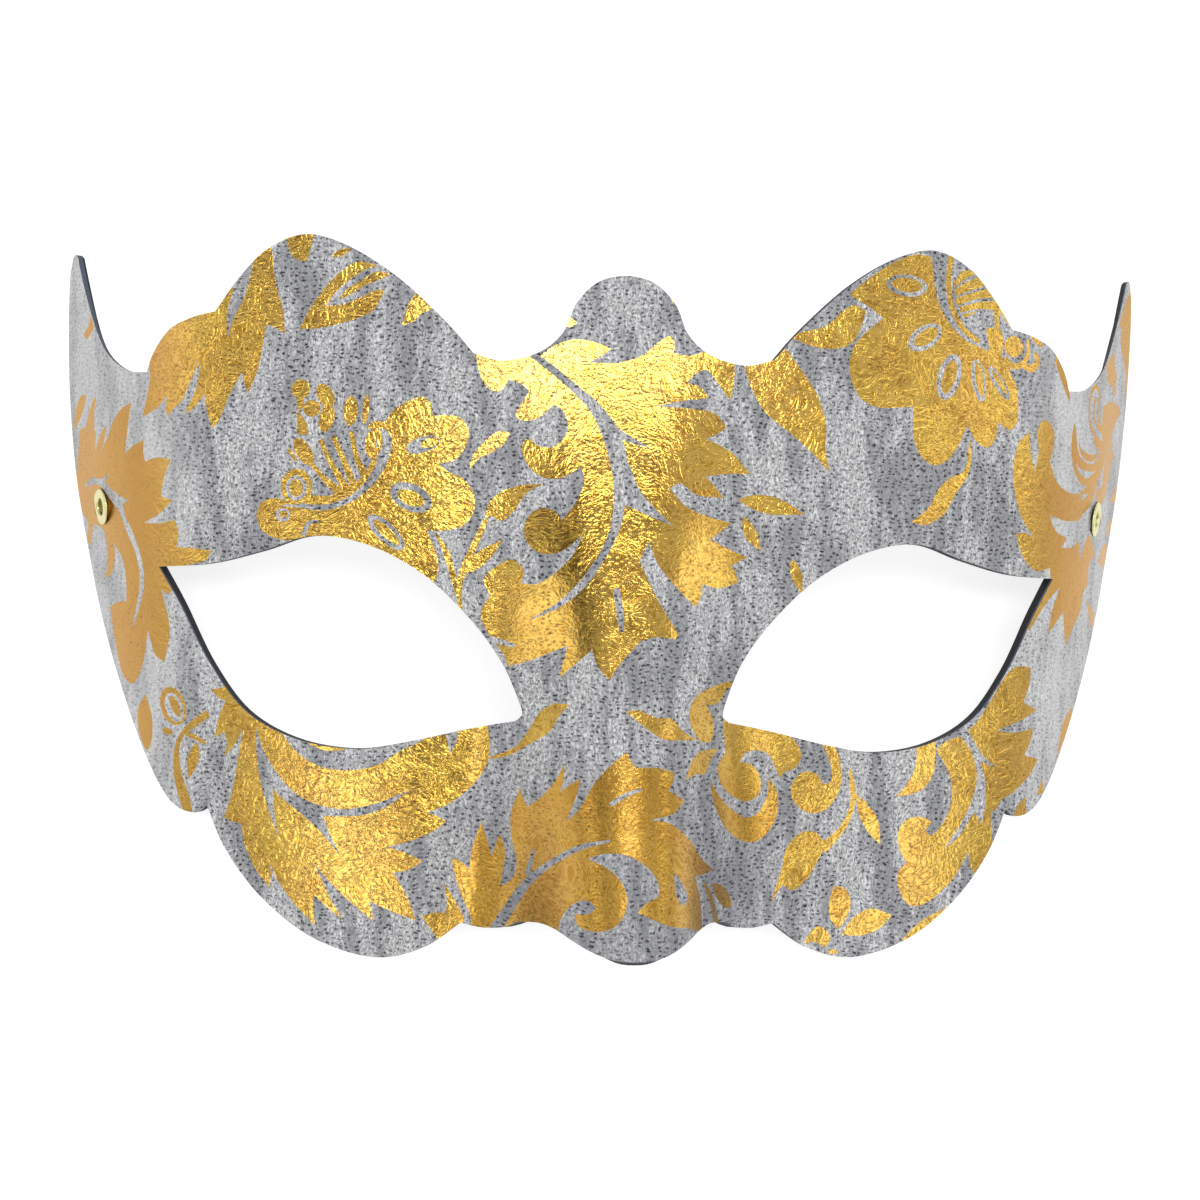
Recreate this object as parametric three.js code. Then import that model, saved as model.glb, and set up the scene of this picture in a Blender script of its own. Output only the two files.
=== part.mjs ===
// A masquerade half mask, lying on its back with its front up.
//
// It is a thin moulded base, a printed cloth bonded over the whole of its front, and a brass eyelet
// at each side for a ribbon. Millimetres, +Z up, +Y towards the forehead, +X to the right as one
// looks at its front.
//
// A place on the mask is given as it would be on the flat cut cloth: "across" runs along the bent
// front from the middle line, and "up" runs towards the forehead. The bend then carries it into space.
import * as THREE from "three";

// The bend from side to side
const faceRadius = 161; // gentle bend of the forehead and cheeks
const faceHalfArc = 63; // its reach from the middle line, along the surface
const templeRadius = 42; // tighter bend round the temples
const sideAngle = THREE.MathUtils.degToRad(58); // how far the sides have turned when they run straight on

// The nose ridge, which grows from the brow down, and the lean of the sides
const noseHeight = 25; // over the cheeks, at noseFoot
const noseWidth = 13.4; // across, from the ridge to where it has sunk to a third
const noseFullness = 2.8; // 2 gives a bell, and more a broader ridge with steeper sides
const noseTop = 52;
const noseFoot = -48;
const sideLean = 0.08; // rise of the sides for each millimetre up, at leanReach across
const leanReach = 80;

// The wall
const clothThickness = 0.4;
const bondGap = 0.3;
const baseThickness = 1.1;
const wallThickness = clothThickness + bondGap + baseThickness;

// The eyelets
const eyeletAcross = 85.5;
const eyeletUp = 14;
const eyeletBore = 1.3; // radii from here on
const eyeletBarrel = 1.8;
const eyeletHole = 2.1; // of the hole in the wall
const eyeletFlange = 2.95;
const eyeletClinch = 2.6;
const flangeThickness = 0.7;
const clinchThickness = 0.5;
const flangeRounding = 0.35;
const eyeletClearance = 0.3;
const eyeletSides = 24;

// How it lies: the tilt about X brings the lower side corners down to the surface
const restTilt = THREE.MathUtils.degToRad(16);

// The triangles. Inner points stand in columns, closer on the nose and at the temples.
const edgeSpacing = 2.6;
const middleSpacing = 3.4; // of the points down the middle line
const rowSpacing = 6;
const rowReach = 60;
const edgeMargin = 0.93; // of the spacing, between the edge and the nearest inner point
const columns = [3, 6.2, 10, 14.5, 20, 26, 32.5, 39, 45.5, 52, 58, 63.5, 68.5, 73.5, 78.5, 83.5, 88.5, 93.5];
const holeSides = 12;
const normalStep = 0.01; // for the slopes that give a direction out of the front
const farAway = 1000; // corners of the first triangle, which holds all the points
const roundOff = 1e-9;

// The right half of the outline, from the top of the middle line to its foot. Each run is a smooth
// line through its points, and the runs meet in corners.
const outlineRuns = {
  centreLobe: [[0, 48], [4.2, 47], [7.4, 43.8], [9.3, 39.5], [12.8, 36.5], [18.2, 35.2], [22.6, 36.3]],
  topLobe: [[22.6, 36.3], [26.8, 41], [34.4, 47.8], [42, 52.4], [48.5, 54], [54.5, 51.7], [59, 47.4], [62.6, 42.7]],
  shoulder: [[62.6, 42.7], [66.5, 41.9], [70.6, 40.2], [73.7, 36.8], [75, 33.9]],
  wingInside: [[75, 33.9], [79.5, 34.4], [84.8, 37.4], [88.8, 42.4], [91.8, 47.6], [94, 52.6]],
  wingTip: [[94, 52.6], [95.4, 52.5]],
  sideEdge: [[95.4, 52.5], [96.7, 50], [97.3, 42], [97.2, 31], [95.2, 18.5], [90.6, 6.2], [84.8, -6.3],
    [76.3, -22.1], [71.5, -29.5], [68.3, -32.3], [65, -32.9], [63.2, -31.7]],
  cheekLobe: [[63.2, -31.7], [60, -38.2], [54.2, -45], [46, -50.7], [36.5, -53.3], [29, -51.7], [23.4, -47.8]],
  smallBump: [[23.4, -47.8], [20.3, -48.3], [17.3, -47.9], [15.2, -46.7]],
  noseLobe: [[15.2, -46.7], [12.4, -46.1], [10.3, -46.4], [8.5, -47.2], [6.4, -48.1], [4.2, -48.8],
    [2.1, -49.15], [0, -49.25]],
};
const eyeRuns = {
  upperLid: [[72.3, 4.3], [63.4, 4.8], [54.6, 6.8], [46.5, 9.1], [38, 7.8], [29.7, 3.6], [22.6, -2.9],
    [17.8, -9.3], [15, -15.6]],
  innerCorner: [[15, -15.6], [14.8, -16.9], [15.8, -17.8]],
  lowerLid: [[15.8, -17.8], [23, -19.3], [32, -21.4], [40, -22.5], [49, -21.2], [57, -17.2], [63, -10.1],
    [68.2, -1.4], [72.3, 4.3]],
};

const mirrored = ([across, up]) => [-across, up];

// Points along a smooth line through the given ones. Where it crosses the middle line, a mirrored
// neighbour keeps it level there.
function smoothLine(points, spacing) {
  const before = points[0][0] === 0 ? [mirrored(points[1])] : [];
  const after = points[points.length - 1][0] === 0 ? [mirrored(points[points.length - 2])] : [];
  const all = [...before, ...points, ...after];
  const curve = new THREE.SplineCurve(all.map(([across, up]) => new THREE.Vector2(across, up)));
  const line = [];
  for (let i = 0; i < points.length - 1; i++) {
    const [a, b] = [points[i], points[i + 1]];
    const steps = Math.max(1, Math.round(Math.hypot(b[0] - a[0], b[1] - a[1]) / spacing));
    for (let k = 0; k < steps; k++) {
      line.push(curve.getPoint((before.length + i + k / steps) / (all.length - 1)).toArray());
    }
  }
  return line;
}

// Runs joined into one loop. The corner that ends a run starts the next.
const joinRuns = (runs, spacing) => Object.values(runs).flatMap((points) => smoothLine(points, spacing));

// The bend from side to side, as x and z for a distance across
function bend(across) {
  const reach = Math.abs(across);
  const faceAngle = faceHalfArc / faceRadius;
  const templeArc = templeRadius * (sideAngle - faceAngle);
  const first = Math.min(reach, faceHalfArc) / faceRadius;
  const second = faceAngle + Math.min(Math.max(reach - faceHalfArc, 0), templeArc) / templeRadius;
  const straight = Math.max(reach - faceHalfArc - templeArc, 0);
  const x = faceRadius * Math.sin(first) + templeRadius * (Math.sin(second) - Math.sin(faceAngle));
  const z = faceRadius * (Math.cos(first) - 1) + templeRadius * (Math.cos(second) - Math.cos(faceAngle));
  return [Math.sign(across) * (x + straight * Math.cos(sideAngle)), z - straight * Math.sin(sideAngle)];
}

// A place on the front of the cloth, in space
function frontPoint(across, up) {
  const [x, z] = bend(across);
  const ridge = noseHeight * (Math.max(noseTop - up, 0) / (noseTop - noseFoot)) ** 2;
  const nose = ridge * Math.exp(-(Math.abs(across / noseWidth) ** noseFullness));
  const lean = sideLean * up * (across / leanReach) ** 4;
  return new THREE.Vector3(x, up, z + nose + lean);
}

// The direction straight out of the front
function frontNormal(across, up) {
  const alongAcross = frontPoint(across + normalStep, up).sub(frontPoint(across - normalStep, up));
  const alongUp = frontPoint(across, up + normalStep).sub(frontPoint(across, up - normalStep));
  return alongAcross.cross(alongUp).normalize();
}

// A place at a depth under the front of the cloth
const wallPoint = ([across, up], depth) =>
  frontPoint(across, up).addScaledVector(frontNormal(across, up), -depth);

// Whether a point is inside a closed loop
function insideLoop([x, y], loop) {
  const crossed = loop.filter(([xi, yi], i) => {
    const [xj, yj] = loop[(i || loop.length) - 1];
    return yi > y !== yj > y && x < ((xj - xi) * (y - yi)) / (yj - yi) + xi;
  });
  return crossed.length % 2 === 1;
}

const distance = (a, b) => Math.hypot(a[0] - b[0], a[1] - b[1]);

// The circle through three points
function circleThrough(a, b, c) {
  const [bx, by, cx, cy] = [b[0] - a[0], b[1] - a[1], c[0] - a[0], c[1] - a[1]];
  const d = 2 * (bx * cy - by * cx);
  const [bb, cc] = [bx * bx + by * by, cx * cx + cy * cy];
  const [x, y] = [(cy * bb - by * cc) / d, (bx * cc - cx * bb) / d];
  return { centre: [a[0] + x, a[1] + y], radius: Math.hypot(x, y) };
}

// Delaunay triangles of points in the plane: each point in turn opens the triangles whose circles
// hold it, and is joined to the edges of the hole.
function triangulate(points) {
  const all = [...points, [-farAway, -farAway], [farAway, -farAway], [0, farAway]];
  const n = points.length;
  const make = (a, b, c) => ({ corners: [a, b, c], ...circleThrough(all[a], all[b], all[c]) });
  let triangles = [make(n, n + 1, n + 2)];
  points.forEach((point, index) => {
    const opened = triangles.filter((t) => distance(point, t.centre) < t.radius - roundOff);
    const edges = opened.flatMap(({ corners: [a, b, c] }) => [[a, b], [b, c], [c, a]]);
    const once = edges.filter(([a, b]) => !edges.some(([c, d]) => a === d && b === c));
    triangles = triangles.filter((t) => !opened.includes(t));
    triangles.push(...once.map(([a, b]) => make(a, b, index)));
  });
  return triangles.map((t) => t.corners).filter((corners) => corners.every((i) => i < n));
}

// The flat cloth as triangles: the right half, then its mirror image, sharing the middle line
function flatMask() {
  const outline = joinRuns(outlineRuns, edgeSpacing);
  const eye = joinRuns(eyeRuns, edgeSpacing);
  const eyeletRim = Array.from({ length: holeSides }, (_, i) => {
    const turn = (i / holeSides) * 2 * Math.PI;
    return [eyeletAcross + eyeletHole * Math.cos(turn), eyeletUp + eyeletHole * Math.sin(turn)];
  });
  const top = outlineRuns.centreLobe[0];
  const foot = outlineRuns.noseLobe.at(-1);
  const middle = [];
  for (let up = foot[1] + edgeSpacing; up < top[1] - edgeSpacing / 2; up += middleSpacing) {
    middle.push([0, up]);
  }
  const halfLoop = [...outline, foot, ...middle];
  const edge = [...halfLoop, ...eye, ...eyeletRim];
  const inner = columns.flatMap((across, i) => {
    const shift = i % 2 ? rowSpacing / 2 : 0;
    const rows = [];
    for (let up = shift - rowReach; up < rowReach; up += rowSpacing) {
      rows.push([across, up]);
    }
    return rows.filter((p) => edge.every((e) => distance(p, e) > edgeSpacing * edgeMargin));
  });
  const points = [...edge, ...inner.filter((p) => insideLoop(p, halfLoop))];
  const triangles = triangulate(points).filter((corners) => {
    const centre = [0, 1].map((k) => (points[corners[0]][k] + points[corners[1]][k] + points[corners[2]][k]) / 3);
    return insideLoop(centre, halfLoop) && !insideLoop(centre, eye) && !insideLoop(centre, eyeletRim);
  });
  return mirrorMesh(points, triangles);
}

// A half mesh and its mirror image as one, with the points of the middle line shared
function mirrorMesh(points, triangles) {
  const all = [...points];
  const twin = points.map((point, i) => (point[0] === 0 ? i : all.push(mirrored(point)) - 1));
  const upright = triangles.map(([a, b, c]) => {
    const [p, q, r] = [points[a], points[b], points[c]];
    const turn = (q[0] - p[0]) * (r[1] - p[1]) - (q[1] - p[1]) * (r[0] - p[0]);
    return turn > 0 ? [a, b, c] : [a, c, b];
  });
  return { points: all, triangles: [...upright, ...upright.map(([a, b, c]) => [twin[a], twin[c], twin[b]])] };
}

// A closed shell between two depths under the front of the cloth
function shellGeometry({ points, triangles }, top, bottom) {
  const n = points.length;
  const places = [top, bottom].flatMap((depth) => points.flatMap((p) => wallPoint(p, depth).toArray()));
  const edges = new Set(triangles.flatMap(([a, b, c]) => [`${a},${b}`, `${b},${c}`, `${c},${a}`]));
  const index = triangles.flatMap(([a, b, c]) => [a, b, c, c + n, b + n, a + n]);
  for (const edge of edges) {
    const [a, b] = edge.split(",").map(Number);
    if (!edges.has(`${b},${a}`)) {
      index.push(a, a + n, b, b, a + n, b + n);
    }
  }
  const geometry = new THREE.BufferGeometry();
  geometry.setAttribute("position", new THREE.Float32BufferAttribute(places, 3));
  geometry.setIndex(index);
  geometry.computeVertexNormals();
  return geometry;
}

// An eyelet: a flange on the front, a barrel through the wall and a clinched rim behind
function eyeletGeometry() {
  const [seat, back] = [eyeletClearance, -wallThickness - eyeletClearance];
  const [face, end] = [seat + flangeThickness, back - clinchThickness];
  const profile = [
    [eyeletBore, end],
    [eyeletClinch - flangeRounding, end],
    [eyeletClinch, end + flangeRounding],
    [eyeletClinch, back],
    [eyeletBarrel, back],
    [eyeletBarrel, seat],
    [eyeletFlange, seat],
    [eyeletFlange, face - flangeRounding],
    [eyeletFlange - flangeRounding, face],
    [eyeletBore + flangeRounding, face],
    [eyeletBore, face - flangeRounding],
    [eyeletBore, end],
  ];
  return new THREE.LatheGeometry(profile.map(([r, w]) => new THREE.Vector2(r, w)), eyeletSides);
}

const clothMaterial = new THREE.MeshStandardMaterial({ color: 0xb2b2ba, roughness: 0.9, metalness: 0 });
const baseMaterial = new THREE.MeshStandardMaterial({ color: 0x17171a, roughness: 0.7, metalness: 0 });
const brassMaterial = new THREE.MeshStandardMaterial({ color: 0xd8d58c, roughness: 0.3, metalness: 1 });

function namedMesh(name, geometry, material) {
  const mesh = new THREE.Mesh(geometry, material);
  mesh.name = name;
  return mesh;
}

function eyelet(name, across) {
  const mesh = namedMesh(name, eyeletGeometry(), brassMaterial);
  const out = frontNormal(across, eyeletUp);
  mesh.position.copy(frontPoint(across, eyeletUp));
  mesh.quaternion.setFromUnitVectors(new THREE.Vector3(0, 1, 0), out);
  return mesh;
}

const flat = flatMask();
const mask = new THREE.Group();
mask.add(
  namedMesh("face_cloth", shellGeometry(flat, 0, clothThickness), clothMaterial),
  namedMesh("base_shell", shellGeometry(flat, clothThickness + bondGap, wallThickness), baseMaterial),
  eyelet("eyelet_left", -eyeletAcross),
  eyelet("eyelet_right", eyeletAcross),
);
mask.rotation.x = restTilt;

// Laid down: its lowest point is at z = 0, and the middle of its box is over the origin
mask.updateMatrixWorld(true);
const box = new THREE.Box3().setFromObject(mask, true);
mask.position.set(-(box.min.x + box.max.x) / 2, -(box.min.y + box.max.y) / 2, -box.min.z);

const part = new THREE.Group();
part.add(mask);
export default part;
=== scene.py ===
# A masquerade half mask, lying on its back with its front up: a moulded black base, a grey knitted
# cloth with a gold foil print bonded over its front, and a brass eyelet at each side.
#
# A place on the mask is given in millimetres as on the flat cut cloth, as (across, up): across runs
# along the bent front from the middle line, and up runs towards the forehead.
from math import atan2, cos, exp, hypot, pi, radians, sin

import bmesh
import bpy
from mathutils import Matrix, Vector
from mathutils.geometry import delaunay_2d_cdt
from mathutils.kdtree import KDTree


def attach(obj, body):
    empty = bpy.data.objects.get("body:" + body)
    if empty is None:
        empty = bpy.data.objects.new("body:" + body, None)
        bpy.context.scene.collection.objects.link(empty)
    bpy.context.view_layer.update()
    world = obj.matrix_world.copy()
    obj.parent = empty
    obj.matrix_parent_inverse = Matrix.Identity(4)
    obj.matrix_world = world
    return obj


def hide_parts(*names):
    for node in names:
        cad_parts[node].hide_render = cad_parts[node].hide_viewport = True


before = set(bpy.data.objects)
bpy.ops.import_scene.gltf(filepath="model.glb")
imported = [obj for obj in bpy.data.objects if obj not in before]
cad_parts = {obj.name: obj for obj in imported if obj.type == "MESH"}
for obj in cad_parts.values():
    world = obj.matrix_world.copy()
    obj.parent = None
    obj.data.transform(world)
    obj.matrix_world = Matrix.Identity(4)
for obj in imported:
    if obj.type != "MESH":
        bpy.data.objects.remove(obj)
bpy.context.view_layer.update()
mm = 0.001

shape = {
    "faceRadius": 161,  # bend of the forehead and cheeks
    "faceHalfArc": 63,  # its reach from the middle line
    "templeRadius": 42,
    "sideAngle": 58,  # degrees that the sides have turned where they run straight on
    "noseHeight": 25,
    "noseWidth": 13.4,
    "noseFullness": 2.8,  # 2 for a bell, and more for a broader ridge with steeper sides
    "noseTop": 52,
    "noseFoot": -48,
    "sideLean": 0.08,
    "leanReach": 80,
    "restTilt": 16,  # degrees about X
    "restPlace": (0, -1.6715, 27.6197),
}
restFrame = Matrix.Translation(shape["restPlace"]) @ Matrix.Rotation(radians(shape["restTilt"]), 4, "X")


def bend(across):
    faceAngle = shape["faceHalfArc"] / shape["faceRadius"]
    sideAngle = radians(shape["sideAngle"])
    templeArc = shape["templeRadius"] * (sideAngle - faceAngle)
    reach = abs(across)
    first = min(reach, shape["faceHalfArc"]) / shape["faceRadius"]
    second = faceAngle + min(max(reach - shape["faceHalfArc"], 0), templeArc) / shape["templeRadius"]
    straight = max(reach - shape["faceHalfArc"] - templeArc, 0)
    x = shape["faceRadius"] * sin(first) + shape["templeRadius"] * (sin(second) - sin(faceAngle))
    z = shape["faceRadius"] * (cos(first) - 1) + shape["templeRadius"] * (cos(second) - cos(faceAngle))
    side = -1 if across < 0 else 1
    return side * (x + straight * cos(sideAngle)), z - straight * sin(sideAngle)


def frontPoint(across, up):
    x, z = bend(across)
    sunk = max(shape["noseTop"] - up, 0) / (shape["noseTop"] - shape["noseFoot"])
    narrowing = abs(across / shape["noseWidth"]) ** shape["noseFullness"]
    nose = shape["noseHeight"] * sunk**2 * exp(-narrowing)
    lean = shape["sideLean"] * up * (across / shape["leanReach"]) ** 4
    return Vector((x, up, z + nose + lean))


def frontNormal(across, up, step=0.01):
    alongAcross = frontPoint(across + step, up) - frontPoint(across - step, up)
    alongUp = frontPoint(across, up + step) - frontPoint(across, up - step)
    return alongAcross.cross(alongUp).normalized()


# A place in the wall, at a depth under the front, in metres as the mask lies
def wallPlace(across, up, depth=0):
    return restFrame @ (frontPoint(across, up) - depth * frontNormal(across, up)) * mm


# Points along a smooth line through the given ones. knot is 0 for even steps from point to point,
# and 0.5 where they go by the distance between the points.
def smoothLine(points, spacing=0.5, knot=0.5, before=None, after=None):
    if len(points) < 3 and before is None:
        return [tuple(p) for p in points]
    first = before or tuple(2 * a - b for a, b in zip(points[0], points[1]))
    last = after or tuple(2 * a - b for a, b in zip(points[-1], points[-2]))
    chain = [first, *points, last]
    line = []
    for p0, p1, p2, p3 in zip(chain, chain[1:], chain[2:], chain[3:]):
        times = [0]
        for a, b in ((p0, p1), (p1, p2), (p2, p3)):
            times.append(times[-1] + max(hypot(b[0] - a[0], b[1] - a[1]), 1e-6) ** knot)

        def partWay(a, b, start, end, time):
            share = (time - start) / (end - start)
            return tuple(x + (y - x) * share for x, y in zip(a, b))

        steps = max(1, round(hypot(p2[0] - p1[0], p2[1] - p1[1]) / spacing))
        for k in range(steps):
            t = times[1] + (times[2] - times[1]) * k / steps
            a = partWay(p0, p1, times[0], times[1], t)
            b = partWay(p1, p2, times[1], times[2], t)
            c = partWay(p2, p3, times[2], times[3], t)
            d = partWay(a, b, times[0], times[2], t)
            e = partWay(b, c, times[1], times[3], t)
            line.append(partWay(d, e, times[1], times[2], t))
    return [*line, tuple(points[-1])]


# The right half of the outline, down from the top of the middle line, as runs that meet in corners
outlineRuns = [
    # centre lobe, then top lobe
    [(0, 48), (4.2, 47), (7.4, 43.8), (9.3, 39.5), (12.8, 36.5), (18.2, 35.2), (22.6, 36.3)],
    [(22.6, 36.3), (26.8, 41), (34.4, 47.8), (42, 52.4), (48.5, 54), (54.5, 51.7), (59, 47.4),
     (62.6, 42.7)],
    [(62.6, 42.7), (66.5, 41.9), (70.6, 40.2), (73.7, 36.8), (75, 33.9)],  # shoulder
    # wing: inner edge, tip, and then the side down to the cheek
    [(75, 33.9), (79.5, 34.4), (84.8, 37.4), (88.8, 42.4), (91.8, 47.6), (93.5, 51.2)],
    [(93.5, 51.2), (93.9, 52.3), (94.7, 52.8), (95.5, 52.3), (96, 51.1)],
    [(96, 51.1), (96.7, 49), (97.3, 42), (97.2, 31), (95.2, 18.5), (90.6, 6.2), (84.8, -6.3),
     (76.3, -22.1), (71.5, -29.5), (68.3, -32.3), (65, -32.9), (63.2, -31.7)],
    # cheek
    [(63.2, -31.7), (60, -38.2), (54.2, -45), (46, -50.7), (36.5, -53.3), (29, -51.7), (23.4, -47.8)],
    [(23.4, -47.8), (20.3, -48.3), (17.3, -47.9), (15.2, -46.7)],  # small bump
    [(15.2, -46.7), (12.4, -46.1), (10.3, -46.4), (8.5, -47.2), (6.4, -48.1), (4.2, -48.8), (2.1, -49.15),
     (0, -49.25)],  # nose lobe
]
eyeRuns = [
    [(72.3, 4.3), (63.4, 4.8), (54.6, 6.8), (46.5, 9.1), (38, 7.8), (29.7, 3.6), (22.6, -2.9),
     (17.8, -9.3), (15, -15.6)],
    [(15, -15.6), (14.8, -16.9), (15.8, -17.8)],
    [(15.8, -17.8), (23, -19.3), (32, -21.4), (40, -22.5), (49, -21.2), (57, -17.2), (63, -10.1),
     (68.2, -1.4), (72.3, 4.3)],
]


def mirrored(point):
    return (-point[0], point[1])


def joinRuns(runs, spacing):
    loop = []
    for run in runs:
        before = mirrored(run[1]) if run[0][0] == 0 else run[0]
        after = mirrored(run[-2]) if run[-1][0] == 0 else run[-1]
        loop += smoothLine(run, spacing, 0, before, after)[:-1]
    return loop


def circle(centre, radius, sides):
    turns = [2 * pi * k / sides for k in range(sides)]
    return [(centre[0] + radius * cos(t), centre[1] + radius * sin(t)) for t in turns]


def maskLoops(spacing):
    right = joinRuns(outlineRuns, spacing)
    outline = [*right, outlineRuns[-1][-1], *[mirrored(p) for p in reversed(right[1:])]]
    eye = joinRuns(eyeRuns, spacing)
    holes = [eye, [mirrored(p) for p in eye]]
    holes += [circle(eyelet[side], eyelet["hole"], eyelet["holeSides"]) for side in ("left", "right")]
    return outline, holes


eyelet = {
    "left": (-86.5, 13.6),
    "right": (85.2, 14.1),
    "leftLean": 12,  # degrees that each is set askew, towards its side
    "rightLean": 12,
    "hole": 2.1,
    "bore": 1.3,  # radii
    "barrel": 1.8,
    "flange": 2.85,
    "clinch": 2.6,
    "rise": 0.32,  # of the rolled flange over the cloth
    "sunk": 0.02,  # of the barrel's ends into the cloth and the base
    "lip": 0.15,  # of the flange past its foot
    "backGap": 0.05,  # between the base and the ring clinched behind it
    "backRise": 0.5,
    "crown": 0.8,  # how full the rolled rim is: less is fuller
    "steps": (12, 8),  # round the front rim and the back ring
    "sides": 64,
    "holeSides": 32,
}


# Closed outline of the print. Each run starts where the one before ends, and ends in a corner.
def edge(*runs):
    loop = []
    for i, run in enumerate(runs):
        loop += smoothLine([runs[i - 1][-1], *run])[:-1]
    return loop


# A band along a smooth line, with its width at each point
def ribbon(points, widths):
    wide = widths if hasattr(widths, "__len__") else [widths] * len(points)
    line = smoothLine([(*p, w) for p, w in zip(points, wide)], 0.4)
    left = []
    right = []
    for i, (across, up, width) in enumerate(line):
        a = line[max(i - 1, 0)]
        b = line[min(i + 1, len(line) - 1)]
        along = Vector((b[0] - a[0], b[1] - a[1])).normalized() * width / 2
        left.append((across - along.y, up + along.x))
        right.append((across + along.y, up - along.x))
    return left + right[::-1]


def oval(across, up, length, width, turn=0):
    sides = max(10, round(length * 3))
    c, s = cos(radians(turn)), sin(radians(turn))
    unit = [(x * length / 2, y * width / 2) for x, y in circle((0, 0), 1, sides)]
    return [(across + c * x - s * y, up + s * x + c * y) for x, y in unit]


# A pointed leaf. bend bows it to its left, and fat is how far along it is widest.
def leaf(base, tip, width, bend=0, fat=0.4):
    along = Vector((tip[0] - base[0], tip[1] - base[1]))
    side = Vector((-along.y, along.x)).normalized()
    rows = []
    for turn in (1, -1):
        row = []
        for k, share in ((0.2, 0.36), (fat, 0.5), (0.7, 0.36)):
            aside = share * width * turn + bend * 4 * k * (1 - k)
            row.append(tuple(Vector(base) + along * k + side * aside))
        rows.append(row)
    return edge([*rows[0], tip], [*rows[1][::-1], base])


foil, bare = True, False
motifs = {}

motifs["centralLeaf"] = [
    (foil, edge([(-22.3, 37)], [(-21.6, 33.4), (-20, 30.9), (-18.5, 30.7), (-17.3, 32.4)],
        [(-15.7, 32), (-14.2, 30.7)],
        [(-15.4, 28.7), (-16.2, 27.2), (-15.2, 26.4), (-13, 26.7), (-10.6, 28.7)],
        [(-9.4, 28), (-8.5, 25.3), (-9.4, 23.4), (-10.9, 22.4)],
        [(-12.6, 22.5), (-14.3, 23.7), (-15.2, 22.6), (-14.4, 19.9), (-12.4, 18.1), (-9.8, 17.8),
         (-6.6, 19.5)], [(-6.1, 17.6), (-7.3, 14.4), (-9.3, 11.7)],
        [(-10.6, 13.1), (-12.2, 13.5), (-14.1, 12.3), (-14.8, 10), (-13.8, 7.7), (-11.8, 6.7),
         (-9.2, 7.2), (-6.4, 9.5)], [(-7.6, 6.8), (-10, 4.2), (-12.8, 2.3), (-15.2, 2.4)],
        [(-14.8, 4.2), (-16.4, 5.9), (-18.8, 4.8), (-20.6, 2.9), (-19.6, 0.5)],
        [(-20.7, -1.2), (-20.9, -2.8), (-19.8, -5), (-17.4, -8.2)], [(-16.9, -9.8)],
        [(-14.6, -9.2), (-8.5, -6.6)], [(-9, -8.6), (-9.8, -11.3)], [(-7.3, -9.1), (-5.1, -7.1)],
        [(-4.3, -9.5), (-2.7, -11.4)], [(-0.9, -8.8), (1.9, -5.8)], [(4.3, -5.2), (7.1, -5.5)],
        [(7.6, -4.8)], [(4.7, -0.1), (1.9, 5.8)], [(3.3, 8.6)], [(4.5, 5.6), (7.5, 1.9), (10.4, -0.8)],
        [(11.3, 1), (11.5, 2.6)], [(14, 2), (17.2, 2.9)], [(16.8, 4.3), (16.1, 5.4)], [(18.6, 6.7)],
        [(16, 7.7), (12.8, 9.2)], [(14.4, 10.4), (16.1, 11.7)], [(12, 12.7), (8.8, 14.1), (6.5, 16.6)],
        [(8, 17.4), (10.5, 15.8), (14.8, 15.4)], [(13.6, 16.9), (12, 18.5)], [(15.2, 19), (19, 19.1)],
        [(16, 22.2), (12.1, 24.1)], [(14, 25), (15.2, 26)], [(13.4, 27.9), (10, 28.5), (4.3, 28.7)],
        [(8.5, 29.6), (12.4, 30.2)], [(11.2, 31.7), (9, 32.4)],
        [(10.7, 33.9), (12.1, 34.4), (13.3, 33.1), (15.7, 30)], [(16.2, 32.2), (16.4, 36.6)],
        [(12, 37.2)], [(9.6, 36.4), (7, 36.7)],
        [(7.2, 38), (6.6, 39.2), (4.9, 38.3), (2.5, 36.3), (-1, 35.1), (-5.5, 35)],
        [(-3.6, 36.1), (-2.3, 37.1)], [(-4.5, 38), (-7.5, 38.4), (-10.3, 37.6), (-12.8, 35.9)],
        [(-14, 37)])),
    (bare, ribbon([(-13.9, 36.2), (-10.8, 33.9), (-7.5, 31.1), (-4.7, 28.4), (-2.3, 24.6), (-1.2, 21),
                   (-0.7, 17.5), (-1, 14), (-1.7, 10.5), (-3.4, 6.7), (-6.2, 2.6), (-9.6, -0.6),
                   (-13.7, -2.9)], [1, 1.1, 1.2, 1.7, 2.6, 2.6, 2.4, 1.7, 1.3, 1.1, 1.1, 0.8, 0.1])),
    (bare, edge([(-2, 25.9)], [(0, 24.6), (3.6, 22.5)], [(1.4, 23), (-0.6, 23.7)], [(-1.5, 22)])),
    (bare, edge([(0.4, 20.2)], [(2.2, 15.9), (6.8, 11.1)], [(2.8, 12.7), (-0.9, 14.4)], [(-1, 17)])),
    (bare, ribbon([(-1.6, 1.8), (-1.1, -1.3), (-0.8, -4.5)], [0.9, 1.1, 0.7])),
    (bare, ribbon([(-19.4, -5.7), (-17.6, -6.4), (-15.8, -6.8)], [0.6, 0.8, 0.4])),
]

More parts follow.
